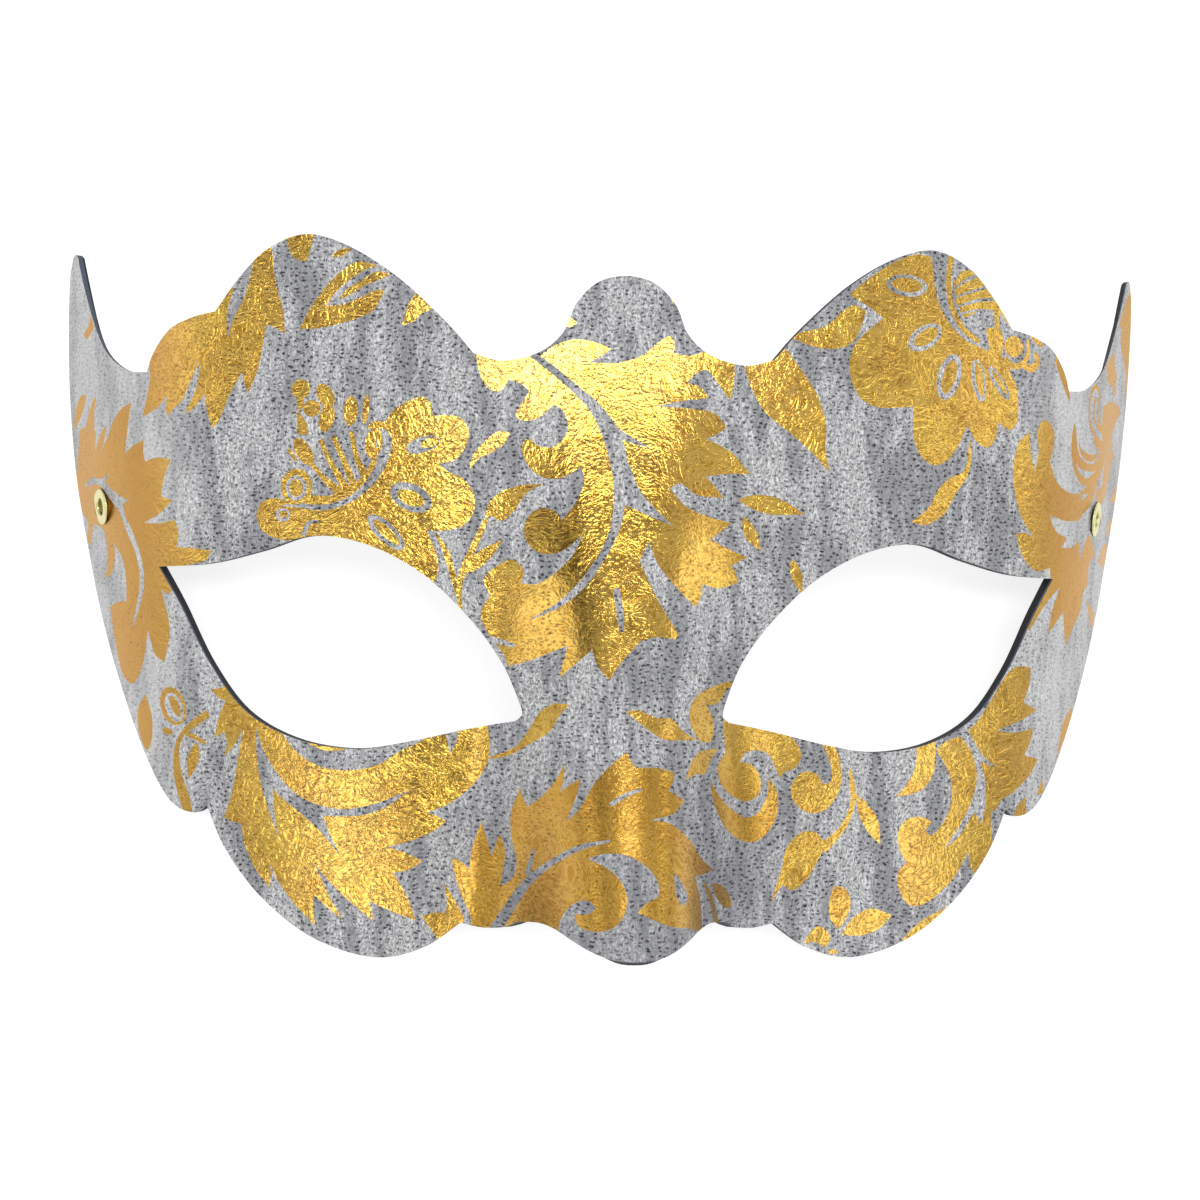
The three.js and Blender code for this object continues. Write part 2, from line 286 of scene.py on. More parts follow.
motifs["flower"] = [
    (foil, edge([(-48.2, 8.4)],
        [(-51.5, 8.5), (-54.3, 9.6), (-55.5, 11.9), (-54.8, 13.9), (-52.6, 14.7), (-50, 14)],
        [(-45.3, 13), (-40.5, 14.4), (-37, 17.5), (-35.3, 21), (-35, 24.3), (-36.8, 24.8),
         (-38.5, 25.2)], [(-37.2, 26.2), (-35.6, 26)],
        [(-34.4, 27.8), (-31.8, 29.3), (-29.9, 29.8), (-28.8, 28.8), (-28.4, 26.9)],
        [(-26.6, 27.1), (-24.4, 26.7), (-23.1, 25), (-23.4, 22.7), (-25, 20.5), (-27.5, 19.9)],
        [(-26, 18.7), (-23.9, 17.8), (-22.2, 15.4), (-22.2, 12.8), (-23.6, 10.9), (-26, 10.1),
         (-29.2, 9.9)], [(-28, 8), (-27.3, 5.6), (-27.5, 3.2)], [(-28.5, 1)], [(-38, 5.5)],
        [(-46, 7)])),
    (bare, ribbon([(-51.5, 13.6), (-48.5, 13.5), (-44.8, 13.2), (-40.7, 14.6), (-37.5, 17.3),
                   (-35.6, 20.6), (-35, 23.6), (-36, 24.8), (-37, 24.9)],
        [0.2, 0.5, 0.6, 0.8, 1, 1, 0.8, 0.5, 0.2])),
    (foil, edge([(-50.6, 14.8), (-48, 13.9), (-44.5, 13.8), (-41, 15), (-38.5, 17.2), (-36.8, 20.3),
                 (-36.9, 21.4)],
        [(-38, 19.6), (-39.4, 17.6), (-41, 16.6), (-43.5, 15.2), (-46.5, 15.1), (-49.5, 15.4)])),
    (foil, oval(-49.2, 16.4, 5.4, 5, 90)),
    (bare, oval(-49.2, 16.2, 3.8, 3.4, 90)),
    (foil, oval(-49.2, 16.2, 2.7, 2.2, 90)),
    (foil, oval(-37.3, 22.9, 4.6, 2.7, 80)),
    (bare, oval(-36.9, 22.7, 1.2, 0.5, 80)),
    (foil, ribbon([(-47.25, 20.3), (-44.75, 17.5), (-42.35, 15.5)], [0.5, 0.9, 1.4])),
    (foil, ribbon([(-45.55, 23.4), (-44.15, 20.5), (-41.45, 16.1)], [0.7, 0.8, 1.2])),
    (foil, ribbon([(-43.55, 23.9), (-41.95, 20.5), (-40.25, 16.5)], [0.8, 0.9, 1.1])),
    (foil, ribbon([(-40.75, 24.6), (-40.05, 21.3), (-38.45, 17.6)], [0.7, 0.8, 1.2])),
    (foil, oval(-48.1, 21.6, 4.8, 2.4, -55)),
    (foil, ribbon([(-50.5, 22), (-49.3, 20.2)], [0.5, 0.5])),
    (foil, oval(-48.7, 30.95, 3, 3)),
    (foil, oval(-48.7, 28.95, 2.2, 1.2, 90)),
    (foil, oval(-46.9, 28.05, 2.8, 2.6)),
    (foil, oval(-44.8, 29.95, 4, 2.5, -60)),
    (foil, oval(-44.6, 26.55, 4.2, 2.4, 75)),
    (foil, edge([(-49.3, 28)],
        [(-47.6, 25.6), (-47.6, 24.3), (-49.1, 24.3), (-49.2, 26.2), (-49.3, 28)])),
    (foil, oval(-40.9, 27.65, 4.5, 2.2, 88)),
    (foil, oval(-38.6, 27.85, 4.5, 1, 85)),
    (bare, oval(-29.9, 22.7, 5.2, 2.3, 17)),
    (foil, oval(-28.9, 23, 2.8, 1.4, 17)),
    (bare, oval(-31.6, 14.9, 6.7, 4, -24)),
    (foil, oval(-31.6, 14.8, 4.5, 2.2, -22)),
    (bare, oval(-35.3, 9.7, 7.3, 2.8, -42)),
    (foil, oval(-35.2, 9.7, 5.3, 1.5, -42)),
    (bare, oval(-51.3, 12.2, 2.4, 2.1)),
    (foil, oval(-51.2, 12.3, 1.4, 1.1)),
    (bare, ribbon([(-48, 9.1), (-47.2, 10.9), (-45.4, 11.3)], [0.8, 0.7, 0.3])),
    (bare, ribbon([(-28.8, 9.9), (-27.4, 7.2), (-26.8, 4.4), (-26.4, 2.6)], [0.5, 0.9, 0.7, 0.5])),
    (foil, ribbon([(-27.8, 9.7), (-26.2, 6.8), (-25.2, 3.6), (-24.3, 0.4)], [0.3, 0.9, 0.9, 0.7])),
    (foil, ribbon([(-23.9, -1.6), (-24.2, 1), (-23.7, 4), (-22.2, 7.5), (-20.3, 11.8)],
        [0.5, 0.8, 1, 1, 0.7])),
    (foil, leaf((-23.8, 3.6), (-17.8, 8.8), 2)),
]

motifs["buds"] = [
    (foil, edge([(-23, 19)], [(-22.4, 21.1), (-20.5, 23.5), (-18.4, 24.8), (-17, 24.5)],
        [(-17.7, 23.1), (-19.7, 21.6), (-21.4, 20.8), (-23, 19)])),
    (foil, edge([(-20.5, 11.9)], [(-20.1, 13.9), (-18.4, 15.7), (-15.3, 16.8), (-12, 17)],
        [(-14.4, 15.7), (-16.4, 12.8), (-18.2, 11.5), (-19.5, 12.2), (-20.5, 11.9)])),
]

motifs["topLeaves"] = [
    (foil, edge([(-74.8, 36)], [(-74.3, 33.2)], [(-74.9, 30.6), (-75.9, 27.1)],
        [(-72.9, 28.4), (-70.9, 30.3)], [(-71.2, 28.2), (-70.8, 27.1)],
        [(-69.6, 28.3), (-68.2, 29.4), (-66.6, 32.5), (-65.1, 35.2)], [(-65.6, 31.5), (-67.7, 27.4)],
        [(-66.2, 28.2), (-64.2, 30.3)], [(-63.8, 27.6), (-62.9, 25.2)],
        [(-61.9, 26.2), (-60.2, 30), (-58.1, 33.6)], [(-57.6, 31.5), (-57.1, 30.3)],
        [(-55.6, 33.8), (-54.8, 37.6), (-54.3, 40.6)], [(-52.8, 40.1), (-51.3, 39.2)],
        [(-51.6, 42.6), (-52.8, 46.6), (-53.7, 53.5)], [(-55.5, 55)],
        [(-57.8, 44.9), (-59.4, 42), (-60.5, 38.8)], [(-60.6, 42.4), (-59.6, 46)], [(-62, 48.5)],
        [(-66, 44.5)], [(-73, 43.5)])),
    (foil, edge([(-52, 55)], [(-51.2, 53), (-50.3, 50.8), (-49.2, 50.1), (-47.9, 50.1)],
        [(-46.6, 55)])),
    (foil, edge([(-49, 39.9)], [(-47.3, 43.1), (-45.1, 46), (-43, 48.1), (-40.1, 49.8), (-36.9, 49.2)],
        [(-38.7, 48.7), (-41.2, 47.2), (-43.4, 45.3), (-45, 43.3)],
        [(-42.3, 43.5), (-39.4, 44.6), (-37.3, 45.6), (-35.9, 45.6)],
        [(-37.6, 42.6), (-40.1, 41.4), (-45.9, 40), (-49, 39.9)])),
    (foil, edge([(-42.9, 44.2)], [(-41.9, 45.6), (-39.4, 47.1), (-37.3, 48.3), (-35.1, 48)],
        [(-36.2, 47.3), (-38.7, 46.4), (-41.2, 44.9), (-42.9, 44.2)])),
    (foil, edge([(-44.2, 50.5)], [(-43.2, 51.5), (-40.8, 51.9)], [(-42.4, 50.7), (-44.2, 50.5)])),
    (foil, edge([(-31, 45.4)], [(-32.4, 43.3), (-33.3, 40.3)],
        [(-31.5, 40.9), (-30.4, 42), (-27.5, 43.2)], [(-28.5, 46)])),
]

motifs["smallLeaves"] = [
    (foil, edge([(17.6, 36.5)], [(18.2, 33.8), (20.9, 28.7), (25.2, 25.3), (28.5, 22.6), (31.4, 19.8)],
        [(30.7, 23.4), (30.8, 26.6), (29.3, 31.2), (24.6, 37.6)], [(22, 38.5)])),
    (foil, edge([(25.2, 39.6)], [(28.4, 38.5), (32.2, 38.3), (34.8, 39.3), (36.2, 41.6), (37, 44.2)],
        [(35, 45), (33, 43.8), (30.6, 41.7), (25.6, 40.3)])),
    (foil, leaf((17, 15.3), (27.6, 13.3), 2.7, 0.2, 0.5)),
    (foil, leaf((17.9, 12.8), (20.8, 7.6), 1.9, -0.2, 0.55)),
    (foil, leaf((25.6, 6.6), (27.3, 1.3), 1.7, 0, 0.5)),
    (foil, edge([(45.2, 12.6)],
        [(47.2, 12.1), (50.8, 13.9), (52.6, 16.8), (54.9, 20), (55.5, 22.6), (55.2, 25.8)],
        [(54.8, 23), (54.2, 20.6), (51.6, 19.4), (49.7, 17.6), (48.2, 15), (45.2, 12.6)])),
    (foil, edge([(-8.9, 42.2)], [(-7.3, 40.9)], [(-8.3, 40.2)], [(-9.5, 40.6)])),
    (foil, edge([(6.6, 46.4)], [(8, 44.6)], [(6.7, 44.2)])),
    (foil, edge([(71.2, 40.6)], [(71.6, 38.2), (73.2, 35.2), (75.4, 31.9)], [(75.3, 33), (74.6, 36)],
        [(73.5, 39)])),
]

motifs["rightFlower"] = [
    (foil, edge([(34.2, 46.6)], [(37, 48.8), (41, 51.5), (45.2, 53.2), (47.9, 53)],
        [(48.3, 50.6), (48.7, 47.8), (50.3, 44.2), (53.7, 40.9), (56.6, 39.7), (58.5, 39.2)],
        [(58.1, 41), (57.8, 42.6), (60.3, 42.6), (61, 41)], [(60.9, 38.2), (62.4, 37.7)],
        [(62.3, 36.1)], [(63.5, 34.2), (64, 31.2), (63.7, 28.2), (62.5, 27.2), (60.1, 28.4)],
        [(59.9, 25.9), (58.6, 24.4), (56.6, 25), (54.6, 27.6)],
        [(53.3, 24.8), (51.4, 22.3), (49.1, 21.3), (46.9, 22.3), (45.4, 24.9), (45.2, 27.8),
         (45.2, 30.1)],
        [(42.3, 29.8), (39, 29.8), (36.3, 31), (34.7, 34), (34.5, 37), (35.8, 39.7), (39.9, 43.3)],
        [(37.5, 44.8), (34.2, 46.6)])),
    (bare, oval(43.8, 48.4, 6.9, 3.3, -3)),
    (foil, oval(43.8, 48.5, 5.3, 2.2, -3)),
    (bare, oval(47, 40.7, 6.4, 3.5, 30)),
    (foil, oval(47.2, 40.8, 4.7, 2.2, 32)),
    (bare, oval(51.3, 34.9, 7.3, 4, 72)),
    (foil, oval(51.3, 34.9, 5.4, 2.3, 72)),
    (bare, oval(56.6, 34.6, 6.6, 2.5, -78)),
    (foil, oval(56.7, 34.8, 5.4, 1.4, -78)),
    (bare, oval(60.3, 34.4, 6.2, 1.9, -52)),
    (foil, oval(60.4, 34.5, 4.6, 0.9, -52)),
    (foil, ribbon([(51.4, 54), (50.9, 49.5), (51.5, 45.8), (53.6, 42.4), (56.6, 40.5)],
        [1, 0.9, 0.9, 0.9, 0.7])),
    (foil, edge([(51.8, 49.4)], [(53.6, 51.3), (56, 51)], [(58.6, 49), (60.6, 46)], [(60, 44.4)],
        [(57.5, 45.4), (53.7, 44)], [(52.2, 46.4)])),
    (bare, ribbon([(51.9, 48.4), (54.2, 49.9), (56.6, 50.9)], [0.3, 0.5, 0.6])),
    (bare, ribbon([(52, 47.1), (55, 48.1), (58.6, 49.3)], [0.3, 0.4, 0.5])),
    (bare, ribbon([(52.6, 45.7), (56, 46.8), (59, 47.2)], [0.3, 0.5, 0.6])),
    (bare, ribbon([(53.3, 44.7), (56.5, 45.4), (59.6, 45.2)], [0.3, 0.4, 0.5])),
    (foil, ribbon([(59.5, 47), (59.6, 44.5), (59.8, 42)], [0.7, 0.8, 0.9])),
    (foil, ribbon([(62.9, 42.9), (61.4, 44.6), (60.3, 45.6)], [0.8, 0.9, 0.4])),
    (foil, oval(62.9, 40.1, 3.6, 3.4)),
    (bare, ribbon([(61.2, 39.2), (62.4, 38.2), (63.9, 38.2), (64.9, 39.4)], [0.3, 0.5, 0.5, 0.3])),
    (foil, ribbon([(61.2, 38.2), (62.6, 37.2), (64.4, 37.4), (65.6, 38.9), (65.6, 41.4)],
        [1, 1, 0.9, 0.8, 0.4])),
    (foil, ribbon([(64.6, 37.4), (66.4, 36.9), (67.6, 37.9), (67.2, 39.4)], [0.8, 1.2, 1.1, 0.7])),
    (foil, ribbon([(66.2, 42), (67.6, 41.2), (68.6, 40.4)], [0.4, 1, 0.4])),
]

motifs["rightSide"] = [
    (foil, edge([(64.3, 25.6)], [(66.5, 27.2)], [(66.6, 24.4), (67.6, 21)],
        [(68.3, 24.2), (68, 27.4), (69.2, 29.1), (71, 28.4), (71.8, 26.3), (70.9, 22.6)],
        [(72.6, 19.6), (75.6, 18.1), (79.6, 17.9)], [(79.6, 14.2), (76, 13.5), (71.2, 14.2)],
        [(72.7, 11.9), (75.7, 10.8)], [(74.3, 9.3)], [(76.7, 9.3), (79.3, 10.5)], [(79.9, 7.4)],
        [(80.9, 9.6), (82.2, 11.6)], [(83.4, 11.2)], [(84.4, 9.8), (85.2, 8.4)],
        [(83.3, 7), (82.7, 3.4)], [(81.3, 2.2), (80.4, -0.8), (78.6, -3), (76.1, -6.3)],
        [(75.6, -3.2), (75.2, -0.8)], [(73.8, -2.2), (71.5, -4.4)], [(72.4, -0.6), (74.2, 3)],
        [(71, 0.6), (67.2, -4)], [(66.6, -3)], [(69.4, 1.4), (71.8, 4.2)], [(71.5, 6)],
        [(68.3, 5.5), (65.7, 7.5), (64, 11.2)], [(65.6, 11.4), (67.7, 10.7)],
        [(65.2, 13.6), (63.6, 18), (63.3, 22), (64.3, 25.6)])),
    (foil, edge(
        [(79.6, 17.9), (82.2, 18.3), (84, 19.6), (87.6, 22.8), (90.5, 27), (93, 30.4), (95, 31.8)],
        [(93.2, 32.8), (90.5, 33.4)], [(88.4, 32.9), (86, 32.3)], [(85.9, 30.8), (85.9, 29.2)],
        [(86.4, 26.5), (86.4, 24)], [(84, 22.4), (82.6, 20.4), (80.8, 19.1)], [(78.8, 18)])),
    (foil, edge([(76.9, 29.2)],
        [(76.3, 27.8), (76.1, 25.6), (76.2, 24), (76.9, 21.9), (78, 20.4), (79.3, 19.5), (80.7, 19.25),
         (82.2, 19.6)], [(86.6, 24)], [(86.6, 26.6)], [(85.4, 26.9), (83.9, 27.5), (82.4, 28.3)],
        [(82.9, 27.2), (83.1, 26.3), (83.7, 25.6), (85, 25.3)],
        [(84.2, 24.7), (82.6, 24.3), (80.8, 24.5), (79.3, 24.9), (78.5, 25.6), (78.2, 26.4)],
        [(77.5, 26.2)], [(77.4, 27.4), (76.9, 29.2)])),
    (bare, ribbon([(78, 26.8), (78, 25.4), (78.5, 24.3), (79.4, 23.6), (80.6, 23.2), (82, 23),
                   (83.2, 23.2), (84.2, 23.8), (85, 24.6), (86.2, 25)],
        [0.6, 0.5, 0.4, 0.35, 0.35, 0.35, 0.4, 0.4, 0.4, 0.2])),
    (bare, edge([(77.5, 22.8)], [(78.4, 22.1), (79.8, 21.75), (81.6, 21.6), (83.8, 21.75)],
        [(82.4, 20.9), (80.8, 20.5), (79.3, 20.95), (78.2, 21.7), (77.5, 22.8)])),
    (foil, ribbon([(82.6, 27.9), (81.7, 28.7), (81.2, 29.8), (80.95, 31.2), (81, 32.6), (81.4, 33.8),
                   (82, 34.7), (82.9, 35.2), (83.6, 35), (84.3, 34.3), (84.7, 33.4)],
        [0.8, 0.6, 0.5, 0.45, 0.45, 0.6, 0.7, 0.7, 0.7, 0.6, 0.3])),
    (foil, ribbon([(83.2, 33.3), (82.7, 32.4), (82.6, 31.2), (82.9, 30), (83.6, 29.2)],
        [0.6, 0.5, 0.45, 0.5, 0.5])),
    (foil, ribbon([(83.2, 33.3), (84, 33.1), (84.5, 32), (84.6, 30.6), (84.5, 29)],
        [0.5, 0.5, 0.5, 0.5, 0.6])),
    (foil, edge([(83, 29.3)], [(84.4, 29.1), (85.9, 29.3)], [(87.2, 28.6)], [(86.9, 27.6)],
        [(85.6, 28), (84.2, 28.5), (83, 29.3)])),
    (foil, edge([(86.6, 38.4)], [(87.6, 39.7), (89.3, 41)], [(90.2, 40.4), (90.7, 38.8), (92, 37.6)],
        [(91.6, 36.4), (91.7, 34.2)], [(90.8, 34.2), (90.5, 35.5)], [(87.6, 36.2)],
        [(87.1, 36.8), (87.3, 37.8)])),
    (foil, edge([(96.4, 53)], [(95.3, 50.8), (94.3, 49.9)], [(93.4, 48.4), (91.8, 45.7)],
        [(93.1, 44.9)], [(92.6, 43.5), (93.6, 41.6), (95.5, 39.1)], [(96.4, 37.4), (97, 34)],
        [(99, 33)], [(99, 45)])),
    (foil, edge([(91.2, 27.5)], [(91.6, 26.4), (91.4, 25.6)], [(92.7, 24.5)],
        [(91.4, 23.3), (90.9, 21.6), (89.8, 19.8)], [(88.4, 20.4), (87.2, 20.1)],
        [(87.6, 22.2), (88.6, 23.8), (89.9, 25.8)])),
    (foil, edge([(85.8, 21.2)], [(84.6, 19), (83, 16.6), (81, 15.2), (79.6, 14.6)], [(79.6, 16.8)],
        [(81.4, 17.8), (83.4, 19.4)])),
    (foil, edge([(84.7, 17.1)], [(86.3, 16.3)], [(86.2, 14), (84.7, 12)], [(82.6, 12.2)],
        [(84.3, 13.8), (84.9, 15.6)])),
    (foil, edge([(88.2, 20.6)], [(86.2, 19.2), (84.4, 18.4)], [(86, 16.4), (88.8, 17.6), (90, 19.4)])),
    (foil, edge([(91.8, 17.3)], [(93.6, 18.9), (95.8, 20.6)], [(96.5, 18.5)], [(94.2, 17)])),
    (foil, edge([(86.8, 7.5)], [(88.4, 9.4), (90.4, 10.6)], [(91.8, 10.2)], [(91.8, 6.6)],
        [(89, 6.4)])),
    (foil, edge([(90.4, 11.5)], [(91.6, 13.4), (93.2, 14.9)], [(93.6, 13.2)], [(92, 11.9)])),
    (foil, edge([(82.4, 1.2)], [(84, 0.2), (86.4, -1)], [(85.5, -4)], [(84.2, -2)])),
    (foil, edge([(78.8, -16)], [(76.2, -18.6), (75.2, -21.8)], [(74.5, -24)], [(79.5, -18)])),
    (foil, edge([(67.2, -30)], [(66, -30.8), (65, -32.4)], [(65.5, -34.5)], [(67.8, -34)])),
    (foil, edge([(71, -27.2)], [(69.8, -29.8)], [(71.5, -29.5)])),
]

motifs["leftSide"] = [
    (foil, edge([(-96.3, 25.8)], [(-95.2, 29), (-93.4, 31), (-91.4, 31.2)],
        [(-92.2, 29.2), (-94.4, 27), (-96.3, 25.8)])),
    (foil, edge([(-89.6, 43.4)], [(-88.6, 41.4)], [(-89.8, 40.4), (-91.2, 39.6)], [(-92.2, 40.6)],
        [(-90.6, 41.6)])),
    (foil, edge([(-95.6, 17.8)], [(-94.6, 21.5), (-93.9, 25.8)], [(-92.6, 26.1), (-91.6, 26.2)],
        [(-90.6, 28.2), (-89.2, 30), (-87.9, 31)], [(-88.6, 28.4), (-88.6, 25.6)],
        [(-88.2, 25.2), (-88.4, 22.2)], [(-86.8, 24.6), (-84.9, 26.3)], [(-85.5, 23.8), (-86.6, 22)],
        [(-84.6, 24.2), (-82.6, 27), (-80.8, 28.5), (-78.4, 29.4)], [(-78.9, 27.4), (-79.9, 21.6)],
        [(-78, 22.8), (-75.6, 23.6)], [(-75.7, 21.8), (-75.3, 20.3)], [(-73, 20.9), (-70.2, 20.6)],
        [(-71.4, 17.8), (-72, 15)], [(-69.8, 14.4)], [(-72.2, 12.4), (-75.4, 11)],
        [(-72.4, 10.9), (-69.4, 11.4)], [(-68.6, 9.4), (-69, 7.3)], [(-65.8, 7.1), (-62.9, 6.8)],
        [(-63.6, 5.5), (-67.6, 4.4)], [(-71, 4)], [(-69.2, 1.2)], [(-70.6, 0.1), (-71.9, 0.9)],
        [(-71, -1.6), (-70.1, -5.4), (-71.1, -10.3)], [(-72.9, -9.2), (-74.5, -5.3)],
        [(-75.2, -9.4), (-76.8, -13), (-78.2, -13.8), (-80.2, -12.4), (-82.2, -7.6), (-83.8, -2)],
        [(-82, -1.3), (-79.4, -1)], [(-79.5, 2), (-80.4, 5.4), (-82.7, 8)],
        [(-82.4, 5.8), (-83.2, 3.4), (-85.3, 2.4)],
        [(-84.5, 4.6), (-84.6, 7.4), (-85.6, 9.8), (-86.8, 10.5), (-89, 11)],
        [(-89.8, 8.8), (-90.3, 7.6)], [(-91.4, 8.6), (-91, 11), (-92.6, 12.6)], [(-96, 15)])),
    (bare, edge([(-92.4, 16.8)], [(-91, 17.7), (-89.4, 18.2), (-87.6, 18), (-86.4, 17.9)],
        [(-85.3, 18.3), (-84, 18.5)], [(-85.3, 17.6)], [(-84.4, 16.9), (-83.2, 16.1), (-82, 15.6)],
        [(-80.4, 14.9), (-78.8, 14.5)], [(-80.4, 14)], [(-80, 12.6), (-79.2, 11.1), (-78.4, 9.9)],
        [(-79.4, 9.6)], [(-80.2, 11.1), (-81.1, 12.5), (-82.4, 13.7), (-84, 14.9), (-85.6, 16.2)],
        [(-87, 17), (-89.2, 17.15), (-92.4, 16.8)])),
    (bare, ribbon([(-79.4, 10.8), (-78.6, 9.5), (-77.2, 7.2), (-76.1, 4.3), (-75.9, 1.2), (-76.8, -2.1),
                   (-77.9, -4.9)], [1, 1.1, 0.9, 0.9, 0.9, 0.7, 0.2])),
    (foil, edge([(-75, -15.2)],
        [(-73.6, -18.4), (-73.6, -22.4), (-74.6, -23.9), (-76.2, -21.4), (-76.6, -17.8),
         (-75, -15.2)])),
    (foil, oval(-69.4, -16.9, 6.2, 4.6, -60)),
    (bare, oval(-69.2, -17.1, 4.8, 3.2, -60)),
    (foil, oval(-69, -16.9, 3.6, 1.5, -60)),
    (foil, ribbon([(-63.1, -17.8), (-65.2, -19.2), (-67.4, -20.9), (-68.6, -23.4), (-68.4, -27.2),
                   (-67, -31.2), (-66.2, -33.4)], [1.1, 1.2, 0.8, 0.9, 1.5, 1.8, 1.4])),
    (foil, ribbon([(-67.4, -20.8), (-65.6, -21.4), (-63.4, -22.4)], [0.5, 0.8, 0.4])),
    (foil, leaf((-65, -22.2), (-66.4, -28), 1.9, 0, 0.5)),
    (foil, oval(-70.4, -20.8, 2.2, 1.1, -10)),
]

motifs["cheekLeafLeft"] = [
    (foil, edge([(-62.7, -14.2)], [(-61.2, -15.5), (-60.2, -15.8)], [(-61.2, -17.9), (-62, -21.5)],
        [(-60.4, -20.5)], [(-59.9, -22.4), (-60.5, -24.3)], [(-58.8, -22.6), (-57.3, -20)],
        [(-58, -24), (-59, -29.6), (-60.3, -33.4)], [(-58.8, -34), (-57.3, -34.3)],
        [(-57, -36.8), (-55.2, -40.7), (-52.7, -43.7)], [(-52.5, -41.8), (-52.6, -40.2)],
        [(-51.2, -42.8), (-48.6, -46), (-45.4, -49)], [(-45.7, -46.6), (-45.8, -44.3)],
        [(-43.8, -46), (-41.1, -47.9)], [(-42.9, -45.2), (-45.6, -39.8)],
        [(-43.6, -42), (-40.3, -45), (-36.4, -48)], [(-36.8, -46.2), (-37.2, -45)],
        [(-34, -46.3), (-30, -47.7)], [(-31.4, -44.2), (-33.5, -40.7)],
        [(-31.2, -40.2), (-29.2, -38.9)], [(-31.4, -37.8), (-34.4, -36.9)],
        [(-31.2, -36), (-27.6, -34.4), (-25.7, -32.9)], [(-27.2, -32.1), (-28.6, -31.7)],
        [(-25.2, -30.2), (-21.8, -27.4), (-19.7, -24), (-19.4, -21)], [(-19.9, -17.5)], [(-24, -18.5)],
        [(-24.2, -20.6), (-25.3, -23)], [(-25.8, -20.4)], [(-26.2, -18.5)], [(-29.4, -19.6)],
        [(-29.2, -20.7), (-32.6, -22.6), (-36.4, -24.9), (-41, -25.7), (-45.4, -25.1), (-48.8, -23),
         (-51.6, -19.8)], [(-55, -16)], [(-59.4, -12)], [(-60.6, -13.8)])),
    (bare, edge([(-55.2, -19.8)],
        [(-53.8, -23.3), (-51.8, -26.3), (-49.4, -28.9), (-46, -30.7), (-41.6, -31.5), (-36.6, -30.6),
         (-31.2, -28.4)], [(-34.6, -30.9), (-38.2, -32.3), (-44.4, -32.6)],
        [(-43.2, -35.5), (-41.4, -38.8)],
        [(-43.4, -36.4), (-46.3, -33.6), (-50, -30.8), (-52.4, -28.9)], [(-52.2, -31.4), (-51.4, -36)],
        [(-53, -32), (-54.3, -28), (-55, -24), (-55.2, -19.8)])),
    (foil, edge([(-49.3, -20.4)], [(-46.4, -22.1), (-44.4, -22.8), (-41.2, -22.8)], [(-42, -21)])),
    (foil, edge([(-25.9, -42.2)], [(-24.8, -43.6), (-23, -46.8)], [(-22.8, -48)], [(-26.4, -50.6)],
        [(-28, -48.6), (-29.1, -47)], [(-27.2, -46.4), (-25.6, -46.4)],
        [(-25.4, -44.9), (-25.9, -42.2)])),
]

motifs["noseLeaf"] = [
    (foil, edge([(-24.8, -38.2)], [(-23.4, -38.8), (-22.1, -39.9)], [(-21.9, -37.2), (-20.5, -32.8)],
        [(-19.6, -35.4), (-18.9, -37.9)], [(-18.4, -36), (-17.8, -34.3)],
        [(-17, -36.8), (-17.3, -39.6), (-17.7, -42.1)],
        [(-16, -40.6), (-15.4, -38.2), (-16.2, -34.4), (-16.2, -31), (-14.9, -27.4)],
        [(-14.6, -28.8), (-14, -30.1)], [(-12, -28.3), (-10.2, -25.8), (-9, -23.4)],
        [(-9.1, -25.6), (-9.6, -27.4)], [(-8.2, -26.2), (-6.8, -25.3)], [(-7.6, -28.2), (-8.9, -31.4)],
        [(-7, -29.4), (-5, -25.8), (-2.6, -23.2), (-0.3, -21.4)], [(0.2, -22.8), (1, -23.6)],
        [(3.8, -23.6), (6.5, -24.3)], [(6.2, -25.8), (5.5, -26.8)], [(8, -28.3)],
        [(6.6, -29.8), (2.8, -30.7)], [(5.6, -31.3), (8.6, -33.7), (11, -37), (12.9, -38.7)],
        [(11, -39), (9.5, -39)], [(10.4, -42.4), (10.7, -47.5)],
        [(9.2, -46.1), (4.8, -44.8), (0.5, -42.9)],
        [(2, -41.6), (3.5, -40.9), (3.5, -39), (1.8, -36.8), (-1.2, -35.3), (-4.2, -35.4),
         (-6.1, -36.1)],
        [(-3.2, -37.4), (-1.3, -39.5), (-0.9, -42), (-2.4, -44.6), (-5, -45.6), (-7.4, -45.2),
         (-7.8, -43.8), (-6.2, -43.5), (-5.2, -42.5), (-6.2, -41.7), (-8, -42.4), (-9.6, -44.8),
         (-10, -46.8)], [(-14, -49)], [(-21.7, -49.5)],
        [(-21.9, -46.8), (-23.2, -43.9), (-24.4, -40.4), (-24.8, -38.2)])),
    (bare, ribbon([(-3, -33.5), (-7, -34.7), (-11, -37.6), (-14, -40.9), (-16.4, -45), (-18.6, -49)],
        [0.3, 0.7, 0.8, 1.1, 1.4, 1.7])),
    (bare, ribbon([(-13.1, -36), (-13.5, -37.8), (-13.9, -39.8)], [0.4, 0.6, 0.7])),
    (bare, ribbon([(-2.9, -28.7), (-0.8, -27.4), (1.6, -26.5)], [0.6, 0.6, 0.4])),
    (bare, edge([(6, -37.9)], [(7.2, -39.4), (8.2, -41.8), (7.2, -42.5), (6.2, -40.8), (6, -37.9)])),
    (foil, edge([(-8.3, -15)],
        [(-10.4, -15), (-12.4, -16.4), (-14, -19.2), (-15.8, -21.6), (-20.2, -23.6)],
        [(-17, -23), (-13.4, -20.8), (-10.9, -18.9), (-9.6, -16.6), (-8.3, -15)])),
]

